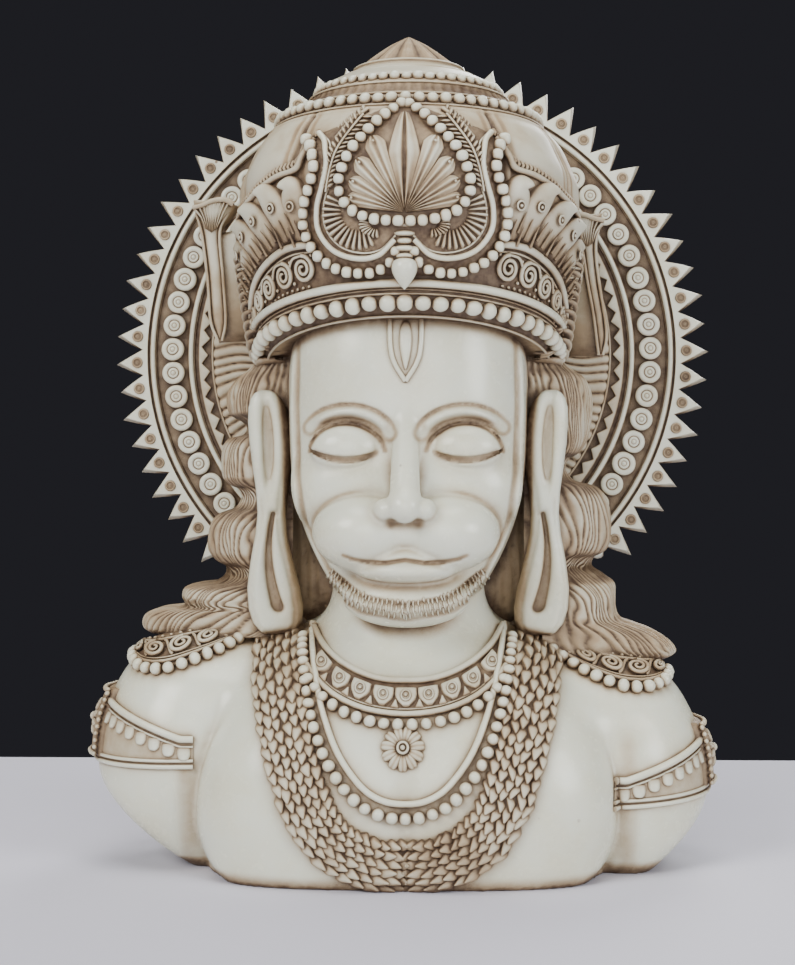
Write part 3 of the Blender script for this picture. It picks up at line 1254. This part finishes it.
finial = Shape()
BUD = [[26.2, 220.0], [25.2, 221.0], [21.5, 222.9], [17.4, 224.9], [15.9, 225.7], [16.0, 226.6],
       [14.9, 227.1], [13.4, 227.4], [11.4, 229.0], [8.6, 231.2], [5.2, 233.6], [2.4, 235.2],
       [0.8, 236.1], [0.05, 236.4]]
t = np.linspace(0, 1, 110)
petals = step_up(0.50, 0.56, t) * step_up(1.0, 0.93, t)


def bud_ribs(angle, k):
    """Ring k's radius round the bud: twelve petals with fine ribs."""
    return 1 + (0.10 * np.abs(np.cos(angle * 6)) ** 0.6 - 0.06 + 0.02 * np.cos(angle * 48)) * petals[k]


groove = (1 - np.abs(np.cos(turns(192) * 6)) ** 0.4)[None] * petals[:, None]
lathe(finial, curve(BUD, t), (0, AXIS_Y, 0), 192, bud_ribs, 0.22 + 0.95 * groove + 0.3 * petals[:, None])
build("finial_bud", finial, smooth_resin, ["crown_finial"])


# ---------------------------------------------------------------- halo

halo_low, halo_high = cad_mm("halo_plate")
HALO_BACK, HALO_FRONT = halo_high[1], halo_low[1]
HALO_X, HALO_Z = -0.5, 148.0
TIP_R, VALLEY_R = 93.9, 85.4
RAYS, BUTTONS = 66, 63
STUD_R, BUTTON_R = 86.3, 75.1      # radii of the circles that ray studs and buttons stand on
RAY_END = 134                      # rays and studs stop this many degrees from the top


def on_halo(angle, r, h=0.0):
    """A point of the halo's face: angle from the top towards +X, radius, and height out of the face."""
    angle, r, h = alike(angle, r, h)
    return np.stack([HALO_X + r * np.sin(angle), HALO_FRONT - h, HALO_Z + r * np.cos(angle)], -1)


def turned_ring(shape, profile, stain=0.0, sides=360):
    """A ring on the halo's face from [radius, height] points, with one stain for each or one for all."""
    angle = turns(sides)
    rows = np.stack([on_halo(angle, r, h) for r, h in profile])
    stain = np.broadcast_to(stain, len(profile))[:, None]
    shape.add(rows, grid_faces(len(rows), sides, wrap_cols=True), stain)


def halo_ground():
    """The disc: a plain back, a rim, and sunk tracks for the buttons and the zigzag."""
    shape = Shape()
    depth = HALO_BACK - HALO_FRONT
    back = [[r, -depth + 0.5 * hump(np.abs(r - 40), 38)] for r in (0.1, *range(8, 81, 8))]
    turned_ring(shape, back + [[84.5, -depth]], 0.35)
    # [radius, height, stain] from the rim inwards
    face = [[84.5, -depth, 0.2], [85.2, -depth + 1, 0.2], [85.2, 0.3, 0.2], [84.4, 0.4, 0.1],
            [84.2, -0.3, 0.9], [83.6, -0.35, 0.9], [80.4, -0.3, 0.3], [80.1, -1.0, 0.65],
            [79.4, -1.1, 0.5], [75, -1.1, 0.5], [71.2, -1.1, 0.5], [70.6, -0.9, 0.65], [70.3, -0.3, 0.3],
            [68.3, -0.3, 0.3], [68.0, -1.0, 0.85], [62, -1.1, 0.8], [40, -1.1, 0.7], [0.1, -1.1, 0.7]]
    turned_ring(shape, [point[:2] for point in face], [point[2] for point in face])
    return shape


build("halo_disc", halo_ground(), plate_resin, ["halo_plate"], crease=50)


def ray_angle(k):
    """Where ray k points. They are set a little wider at the top than at the foot."""
    even = np.asarray(k, float) * 2 * math.pi / RAYS - 0.02
    return even + 0.055 * np.sin(even)


def from_top(angle):
    """How far an angle is from the top, either way round."""
    return np.abs((angle + math.pi) % (2 * math.pi) - math.pi)


def rays():
    """A crown of points round the rim, drafted so that the front is smaller than the back."""
    shape = Shape()
    per = 8
    k = np.arange(RAYS * per) / per
    angle = ray_angle(k)
    point = np.abs(2 * (k % 1) - 1)
    beyond = 1 - step_up(math.radians(RAY_END), math.radians(RAY_END + 5), from_top(angle))
    crest = (TIP_R - VALLEY_R) * point * beyond * (1 + 0.05 * np.sin(np.round(k) * 2.4) * point)
    # [radius, share of the ray, height, stain] from the back of the rim over the points to its front
    levels = [[83.4, 0, -6.8, 0.5], [VALLEY_R - 0.5, 1, -6.8, 0.7], [VALLEY_R, 1, -6.2, 0.62],
              [VALLEY_R - 0.6, 0.84, 0.5, 0.35], [VALLEY_R - 0.9, 0.80, 1.0, 0.0], [83.4, 0, 1.1, 0.0],
              [83.1, 0, 1.1, 0.05], [82.9, 0, 0.6, 0.3], [82.8, 0, -0.5, 0.5]]
    rows = np.stack([on_halo(angle, r + share * crest, h) for r, share, h, _ in levels])
    stain = np.array(levels)[:, 3:] * (1 - 0.45 * point)
    shape.add(rows, grid_faces(len(rows), len(angle), wrap_cols=True), stain)
    return shape


build("halo_points", rays(), smooth_resin, ["halo_rays"], crease=28)

studs = Shape()
turn = turns(18)
c, s = np.cos(turn), np.sin(turn)
cup = [[0.02, 1.2], [0.6, 1.2], [1.35, 1.13]]
for k in range(RAYS):
    a = float(ray_angle(k))
    if from_top(a) < math.radians(RAY_END):
        x, z = (HALO_X, HALO_Z) + STUD_R * heading(a)
        circle = lambda r, h: np.stack([x + r * c, np.full(18, HALO_FRONT - h), z + r * s], 1)
        for r, h, thick, wash in ((1.35, 1.1, 0.36, 0.4), (0.3, 1.05, 0.3, 0.45)):
            tube(studs, circle(r, h), thick, sides=7, closed=True, stain=wash)
        studs.add(np.stack([circle(r, h) for r, h in cup]), grid_faces(3, 18, wrap_cols=True), 0.6)
build("halo_point_studs", studs, carved_resin, ["halo_ray_studs"])

rings = Shape()
for r, w, h in ((81.5, 0.95, 1.0), (69.4, 0.85, 0.8)):
    turned_ring(rings, [[r + w * math.cos(a), h * math.sin(a) - 0.1] for a in np.linspace(0, math.pi, 9)],
                [0.6, 0.3, 0, 0, 0, 0, 0, 0.3, 0.6])
build("halo_raised_rings", rings, smooth_resin, ["halo_rings"])


# A button's face from its side to its middle: [radius, height, stain].
BUTTON = np.array([[3.6, -1.1, 0.9], [3.68, 0.1, 0.5], [3.5, 0.8, 0.05], [3.1, 1.05, 0], [2.0, 1.1, 0.05],
                   [1.8, 0.85, 0.55], [1.68, 0.85, 0.55], [1.5, 1.15, 0.05], [1.0, 1.2, 0],
                   [0.8, 1.05, 0.3], [0.7, 1.05, 0.3], [0.5, 1.25, 0.05], [0.05, 1.3, 0]])


def buttons():
    """Flat round buttons, each with two rings cut in its face and each tipped a little."""
    shape = Shape()
    c, s = np.cos(turns(26)), np.sin(turns(26))
    for k in range(BUTTONS):
        x, z = (HALO_X, HALO_Z) + BUTTON_R * heading((k + 0.5) * 2 * math.pi / BUTTONS)
        r = BUTTON[:, :1] * (1 + rng.normal(0, 0.015))
        tip = rng.normal(0, 0.03, 2)
        y = HALO_FRONT - BUTTON[:, 1:2] + r * (tip[0] * c + tip[1] * s)
        points = np.stack([x + r * c, y, z + r * s], -1)
        shape.add(points, grid_faces(len(BUTTON), len(c), wrap_cols=True), BUTTON[:, 2:])
    return shape


build("halo_face_buttons", buttons(), smooth_resin, ["halo_buttons"], crease=60, flip=True)


def flutes():
    """The pleated field behind the crown: fine ribs that fan out from the middle and waver a little."""
    shape = Shape()
    rows, cols = 40, 1440
    r = np.linspace(26, 62.4, rows)[:, None]
    angle = turns(cols)[None]
    waver = 0.012 * np.sin(r / 3.1) + 0.01 * np.sin(angle * 23)
    ridge = np.abs(np.sin((angle + waver) * 60)) ** 0.4
    h = -0.7 + 1.2 * ridge * step_up(26, 34, r) - 0.7 * step_up(61.2, 62.4, r)
    shape.add(on_halo(angle, r, h), grid_faces(rows, cols, wrap_cols=True), 0.25 + 0.75 * (1 - ridge) ** 1.4)
    return shape


build("halo_pleats", flutes(), plate_resin, ["halo_flutes"])

zigzag = Shape()
turn = turns(1600)
saw = 2 * np.abs((turn * 78 / (2 * math.pi)) % 1 - 0.5) * 2 - 1
edge = 64.6 + 1.1 * saw + 0.25 * np.sin(turn * 31)
levels = ((67.2, -1.0, 0.8), (67.0, 0.1, 0.5), (66.7, 0.35, 0.1), (edge + 0.5, 0.35, 0.05),
          (edge + 0.15, 0.15, 0.4), (edge, -1.0, 0.9))      # radius, height, stain
rows = np.stack([on_halo(turn, r, h) for r, h, _ in levels])
stain = np.array([[wash] for _, _, wash in levels])
zigzag.add(rows, grid_faces(len(levels), len(turn), wrap_cols=True), stain)
inner = [[62.6 + 0.4 * math.cos(a), 0.4 * math.sin(a) - 0.4] for a in np.linspace(0, math.pi, 6)]
turned_ring(zigzag, inner, 0.25)
build("halo_zigzag_strip", zigzag, carved_resin, ["halo_zigzag"])


# ---------------------------------------------------------------- jewellery on the chest

def front_line(points, count=200, h=0.0):
    """A curve through [x, z] points, seated on the body."""
    line = smooth(points, count)
    return on_body(*line.T, h)


CHOKER_TOP = mirrored([[0, 54.0], [6, 54.3], [12, 55.8], [18, 58.6], [23, 62.4], [26.5, 67]])
CHOKER_FOOT = mirrored([[0, 45.8], [6, 46.2], [12, 47.4], [18, 49.8], [23, 53.2], [27, 57.5]])
choker = Shape()
rows, cols = 12, 140
top, foot = smooth(CHOKER_TOP, cols), smooth(CHOKER_FOOT, cols)
mixed = foot[None] + (top - foot)[None] * np.linspace(0, 1, rows)[:, None, None]
sheet(choker, on_body(mixed[..., 0], mixed[..., 1], 0.35), 0.85)
inner = foot + (top - foot) * 0.16
for line, h, r, sides in ((top, 0.7, 1.0, 9), (foot, 0.7, 0.95, 9), (inner, 0.4, 0.35, 6)):
    tube(choker, on_body(*line.T, h), r, sides=sides)
build("choker_rims_and_band", choker, carved_resin, ["choker_band"])


def tiles():
    """Facing tiles like half octagons, with a ringed eye in each and small wedges between their feet."""
    shape = Shape()
    middle_line = evenly((top + foot) / 2, count=240)
    v, u = np.linspace(-2.5, 2.6, 12)[:, None], np.linspace(-1, 1, 13)[None]
    edge = np.minimum(np.clip((1 - np.abs(u)) * 5, 0, 1), np.clip(np.minimum(v + 2.5, 2.6 - v) * 2.2, 0, 1))
    for k in range(-4, 5):
        i = 120 + int(k * 24.5)
        at, way = middle_line[i], middle_line[i + 5] - middle_line[i - 5]
        slope = math.atan2(way[1], way[0])
        c, s = math.cos(slope), math.sin(slope)
        wide = 3.35 * (1 - 0.05 * abs(k))

        def place(a, b, h, at=at, c=c, s=s):
            return on_body(at[0] + a * c - b * s, at[1] + a * s + b * c, h)

        half = wide * table(v, [[-2.5, 0.16], [-1.7, 0.46], [-0.4, 0.88], [0.8, 1.0], [2.6, 0.94]])
        sheet(shape, place(u * half, v + 0 * u, -0.2 + 1.5 * edge ** 0.5), 0.45 * (1 - edge) ** 2)
        stud(shape, place, 0.0, 0.25, 1.2, 1.4)
        wedge = [[wide + 0.35, b] for b in (-2.6, -1.5, -0.2)]
        strip(shape, place, wedge, lambda t: 1.6 * (1 - t) + 0.1, ramp(1.1), rows=9, power=0.3, stain=0.6)
    return shape


build("choker_facing_tiles", tiles(), carved_resin, ["choker_tiles"])

bead_line = smooth(CHOKER_FOOT - [0, 2.7], 300)
bead_places = evenly(on_body(*bead_line.T, 0.9), pitch=3.6, inset=1.5)
bead_rows("choker_bead_row", "choker_pearls", [bead_places], 1.62)

flower = Shape()
FLOWER = np.array([-0.5, 37.4])
PETALS = 11
petal_half = lambda t: 0.35 + 1.25 * np.sin(math.pi * np.clip(t * 0.78 + 0.06, 0, 1)) ** 0.9
for k in range(PETALS):
    d = heading(2 * math.pi * (k + 0.5) / PETALS)
    spine = [FLOWER + d * out for out in (1.3, 3.6, 5.9)]
    strip(flower, on_body, spine, petal_half, bulge(1.0, 0.9), rows=14, cols=11, sink=0.9, grooves=2,
          depth=0.35)
turn = turns(24)
ring = on_body(FLOWER[0] + 1.35 * np.cos(turn), FLOWER[1] + 1.35 * np.sin(turn), 1.7)
tube(flower, ring, 0.4, sides=7, closed=True)
beads(flower, [on_body(*FLOWER, 1.6)], 0.75)
build("pendant_flower_relief", flower, carved_resin, ["pendant_flower"])

NECKLACE = mirrored([[0, 23.2], [6, 24.3], [11.5, 27.8], [17.5, 35.6], [21.6, 45], [24.4, 55], [27, 67]])
cord = Shape()
tube(cord, front_line(NECKLACE, 220, 0.8), 0.95, sides=10)
build("necklace_smooth_cord", cord, smooth_resin, ["necklace_cord"])

BEAD_LINE = mirrored([[0, 19.6], [6.5, 20.6], [13, 24.2], [20, 32.8], [24.6, 43.5], [27.2, 54], [29, 64]])
bead_places = evenly(front_line(BEAD_LINE, 400, 0.95), pitch=3.65, inset=1.0)
bead_rows("necklace_bead_row", "necklace_pearls", [bead_places], 1.68)


GARLAND = mirrored([[0, 6.6], [9, 7.6], [18, 12.0], [24.6, 20], [29.4, 32], [33.6, 47], [36.2, 58],
                    [37.6, 70]])


def garland():
    """A flat garland of small petals laid like shingles, hanging round the neck to the foot."""
    shape = Shape()
    half, grain, pitch, lanes = 6.7, 0.25, 3.05, 6
    line = evenly(smooth(GARLAND, 800), pitch=grain)
    along = unit(np.gradient(line, axis=0))
    across = np.stack([along[:, 1], -along[:, 0]], 1)
    length = (len(line) - 1) * grain

    def place(a, b, h):
        """a runs along the garland in millimetres, b across it."""
        i = np.clip(np.asarray(a) / grain, 0, len(line) - 1)
        at, way = [np.stack([np.interp(i, np.arange(len(line)), each[:, k]) for k in (0, 1)], -1)
                   for each in (line, across)]
        flat = at + way * np.asarray(b)[..., None]
        return on_body(flat[..., 0], np.maximum(flat[..., 1], 0.6), h)

    edge = half + 0.4
    a, b = np.meshgrid(np.linspace(0, length, int(length / 0.9)), np.linspace(-edge, edge, 17), indexing="ij")
    sheet(shape, place(a, b, -0.8 + 2.3 * np.clip(1 - (b / edge) ** 2, 0, 1) ** 0.4), 0.9)
    t, u = np.linspace(0, 1, 11)[:, None], np.linspace(-1, 1, 9)[None]
    outline = np.clip((t + 0.02) * 2.8, 0, 1) ** 0.6 * np.clip((1.0 - t) * 1.7, 0, 1) ** 0.9
    swell = 1.0 + 1.7 * t ** 0.8 + 0.5 * (1 - np.abs(u) ** 1.4)
    swell = swell - 1.5 * (t > 0.995) - 1.3 * (np.abs(u) > 0.995)
    petals = []
    for start in np.arange(0.5 * pitch, length - 0.3 * pitch, pitch):
        for lane in range(lanes):
            s = start + (0.5 * pitch if lane % 2 else 0)
            offset = (-1 + 2 * lane / (lanes - 1)) * (half - 1.1) + rng.normal(0, 0.18)
            down = 1 if s < length / 2 else -1
            size, twist = rng.uniform(0.9, 1.12), rng.normal(0, 0.14)
            w = 1.85 * size * outline + 0.03
            forward = (t - 0.45) * 4.8 * size * down + twist * u * w
            sideways = u * w - twist * (t - 0.5) * 4.8 * size
            h = swell - 1.1 * (offset / half) ** 4 + 0 * w
            petals.append(np.stack([s + rng.normal(0, 0.15) + forward, offset + sideways, h], -1))
    brown = np.abs(u) ** 4 + 1.2 * step_up(0.46, 0.0, t) + 0.4 * step_up(0.93, 1.0, t)
    stain = 0.1 + 0.8 * np.clip(brown, 0, 1)
    for patch in place(*np.moveaxis(np.stack(petals), -1, 0)):
        sheet(shape, patch, stain)
    return shape


build("petal_garland", garland(), carved_resin, ["garland"])


# ---------------------------------------------------------------- shoulders and arms

EPAULETTES = {"left": [[79.5, 60.5], [77.6, 57.0], [73, 55.2], [67, 55.4], [60, 57.6], [53, 60.4],
                       [46, 63.6]],
              "right": [[74.4, 54.2], [71, 51.4], [65.5, 50.4], [59, 51.0], [52, 53.4], [45.5, 56.6],
                        [40, 60]]}


def epaulette(word):
    """A scrolled shoulder plate edged with beads."""
    side = SIDES[word]
    line = evenly(smooth(EPAULETTES[word], 160), pitch=0.5)
    place = lambda x, z, h=0.0: on_body(side * np.asarray(x), z, h)
    plate, row = Shape(), Shape()
    beads(row, evenly(place(*line.T, 1.15), pitch=3.75, inset=0.6), 1.78)
    foot = place(*line.T, 0.3)
    back = unit(np.array([0.0, 0.80, 0.60]))
    width = 0.5 * (len(line) - 1)

    def on_plate(a, b, h):
        """a in millimetres along the bead row, b in millimetres up the plate."""
        a, b, h = alike(a, b, h)
        i = np.clip(a / width, 0, 1) * (len(line) - 1)
        base = np.stack([np.interp(i, np.arange(len(line)), foot[:, k]) for k in range(3)], -1)
        return drop_on(body_field, base + back * b[..., None], 1.0 + h)

    a, b = np.meshgrid(np.linspace(0, width, 120), np.linspace(0.6, 17, 26), indexing="ij")
    sheet(plate, on_plate(a, b, -0.3 + 0.1 * np.sin(a * 2.2) * np.sin(b * 2.4)), 0.62)
    for b, r in ((2.4, 0.62), (3.7, 0.3), (11.4, 0.55)):
        a = np.linspace(0.5, width - 0.5, 90)
        tube(plate, on_plate(a, b, 0.2), r, sides=7, stain=0.1)
    link = np.linspace(0, 1, 12)
    for a in np.linspace(4.0, width - 4.0, 5):
        spiral(plate, on_plate, (a, 7.4), 3.1, 2.0, 0.75)
        bridge = on_plate(a + 2.4 + link * 3.0, 7.4 + 3.1 * np.cos(link * math.pi), 0.3)
        tube(plate, bridge, 0.55, sides=6, stain=0.15)
    a = np.arange(2.0, width - 1, 2.6)
    beads(plate, on_plate(a, 13.2, 0.1), 0.6)
    build(f"epaulette_plate_{word}", plate, hair_resin, [f"epaulette_{word}"])
    build(f"epaulette_bead_row_{word}", row, smooth_resin, [f"epaulette_pearls_{word}"])


def arm_place(word):
    """Angle round the arm (0 in front, 90 outwards) and height, on the arm's surface."""
    side = SIDES[word]
    axis_x = ARM_X if side == LEFT else ARM_X - 2

    def place(angle, z, h=0.0):
        a, z = alike(np.radians(angle), z)
        out = np.stack([side * np.sin(a), -np.cos(a), 0 * a], -1)
        start = np.array([side * axis_x, AXIS_Y, 0]) + out * 44 + z[..., None] * np.array([0, 0, 1.0])
        return seat(body_field, start, -out, h)

    return place


# Each armlet's upper edge in front and its rise round the arm, and the same for its lower edge.
ARMLETS = {"left": (37.2, 9.6, 29.9, -0.6), "right": (26.6, 9.8, 19.6, 1.6)}
PLAQUES = {"left": (29.5, 49.5), "right": (22.0, 40.5)}      # lower and upper edges
DEGREES_PER_MM = 2.05      # round the arm


def armlet(word):
    """A band with cords along both edges and a row of scallops between them."""
    place = arm_place(word)
    top_z, top_rise, foot_z, foot_rise = ARMLETS[word]
    edges = lambda swing: (top_z + top_rise * swing, foot_z + foot_rise * swing)
    angle = np.linspace(-7, 184, 150)
    upper, lower = edges(np.sin(np.radians(np.clip(angle, 0, 180))))
    band = Shape()
    v = np.linspace(0, 1, 8)[:, None]
    sheet(band, place(angle[None] + 0 * v, lower + (upper - lower) * v, 0.3), 0.38)
    for level, h, r, sides in ((upper, 0.6, 1.05, 9), (upper - 1.9, 0.4, 0.4, 6), (lower, 0.5, 0.7, 8),
                               (lower + 1.6, 0.4, 0.55, 7)):
        tube(band, place(angle, level, h), r, sides=sides)
    scallop = lambda t: 2.25 * np.sqrt(np.clip(1 - (t * 0.99) ** 4, 0, 1)) + 0.05
    for a in np.arange(-2, 182, 8.6):
        above, below = edges(math.sin(math.radians(min(max(a, 0), 180))))
        middle, high = 0.5 * (above + below), 0.5 * (above - below) - 1.9
        local = lambda x, z, h, a=a, m=middle: place(a + np.asarray(x) * DEGREES_PER_MM, m + np.asarray(z), h)
        spine = [[0, high], [0, high - 1.95], [0, high - 3.9]]
        strip(band, local, spine, scallop, ramp(0.8, 0.45), rows=12, sink=0.8, stain=0.8)
    build(f"armlet_band_{word}", band, smooth_resin, [f"armlet_{word}"])


def medallion(word):
    """The plaque on the outside of the arm: a rounded block framed with beads, with a flower on it."""
    place = arm_place(word)
    low, high = PLAQUES[word]
    plaque = Shape()
    z, a = np.linspace(low, high, 34)[:, None], np.linspace(58, 122, 34)[None]
    inwards = np.minimum(np.minimum(z - low, high - z) / 2.2, np.minimum(a - 58, 122 - a) / 7.0)
    edge = np.clip(inwards, 0, 1)
    sheet(plaque, place(a + 0 * z, z + 0 * a, -0.6 + 2.6 * edge ** 0.5), 0.5)
    round_a, up_z = np.linspace(62, 118, 20), np.linspace(low + 1.6, high - 1.6, 14)
    frame_a = np.concatenate([round_a, np.full(14, 118.0), round_a[::-1], np.full(14, 62.0)])
    frame_z = np.concatenate([np.full(20, low + 1.6), up_z, np.full(20, high - 1.6), up_z[::-1]])
    beads(plaque, evenly(place(frame_a, frame_z, 2.3), pitch=1.9), 0.72)
    middle = 0.5 * (low + high)
    local = lambda x, z, h: place(90 + np.asarray(x) * DEGREES_PER_MM, middle + np.asarray(z), h)
    for k in range(10):
        spine = [heading(2 * math.pi * k / 10) * out for out in (1.2, 3.4, 5.4)]
        strip(plaque, local, spine, bulge(0.3, 1.2, 0.05, 0.9), bulge(2.6, 0.6), rows=10, fold=0.3)
    beads(plaque, [place(90.0, middle, 3.0)], 1.3)
    build(f"armlet_medallion_{word}", plaque, carved_resin, [f"armlet_plaque_{word}"])


for word in SIDES:
    epaulette(word)
    armlet(word)
    medallion(word)

# The foot plate and the dowels keep their CAD shape.
for node in ("foot_plate", "halo_dowels"):
    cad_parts[node].data.materials.clear()
    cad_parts[node].data.materials.append(bare_resin)

# ---------------------------------------------------------------- stage, light and camera, in metres

def plain(name, colour, rough):
    """A plain material."""
    material = bpy.data.materials.new(name)
    material.use_nodes = True
    shader = material.node_tree.nodes["Principled BSDF"]
    shader.inputs["Base Color"].default_value = (*colour, 1)
    shader.inputs["Roughness"].default_value = rough
    return material


FLOOR_SIDE, FLOOR_BACK = 1.2, 0.18
floor_mesh = bpy.data.meshes.new("floor")
corners = [(-FLOOR_SIDE, -FLOOR_SIDE, 0), (FLOOR_SIDE, -FLOOR_SIDE, 0), (FLOOR_SIDE, FLOOR_BACK, 0),
           (-FLOOR_SIDE, FLOOR_BACK, 0)]
floor_mesh.from_pydata(corners, [], [(0, 1, 2, 3)])
floor_mesh.materials.append(plain("pale_cloth", (0.66, 0.65, 0.74), 0.8))
floor = bpy.data.objects.new("floor", floor_mesh)
bpy.context.scene.collection.objects.link(floor)


def look(thing, target):
    """Turns a lamp or a camera towards a point."""
    thing.rotation_euler = (Vector(target) - Vector(thing.location)).to_track_quat("-Z", "Y").to_euler()


LAMP_AIM = (0, 0, 0.12)


def area_light(name, place, size, power, colour=(1, 1, 1)):
    """A round soft lamp turned towards the bust."""
    light = bpy.data.lights.new(name, "AREA")
    light.shape, light.size, light.energy, light.color = "DISK", size, power, colour
    lamp = bpy.data.objects.new(name, light)
    lamp.location = place
    look(lamp, LAMP_AIM)
    bpy.context.scene.collection.objects.link(lamp)


area_light("key_left", (-0.85, -0.95, 0.85), 0.7, 15.5, (1.0, 0.985, 0.955))
area_light("fill_right", (1.0, -0.75, 0.45), 0.6, 9.5, (0.96, 0.98, 1.0))
area_light("front", (0.0, -1.3, 0.35), 0.9, 7)
area_light("top", (0.0, -0.1, 1.2), 0.9, 9.5)
area_light("rear", (0.4, 1.2, 0.8), 0.8, 12)

DARK_GREY = (0.017, 0.017, 0.021)
world = bpy.data.worlds.new("studio")
world.use_nodes = True
world.node_tree.nodes["Background"].inputs["Color"].default_value = (*DARK_GREY, 1)
bpy.context.scene.world = world

CAMERA_AT, CAMERA_AIM, LENS_MM = (0.0122, -0.5218, 0.1078), (-0.0033, 0, 0.1078), 67.15
camera_data = bpy.data.cameras.new("camera")
camera_data.sensor_width = 36
camera_data.lens = LENS_MM
camera = bpy.data.objects.new("camera", camera_data)
camera.location = CAMERA_AT
look(camera, CAMERA_AIM)
bpy.context.scene.collection.objects.link(camera)
bpy.context.scene.camera = camera

bpy.context.view_layer.update()
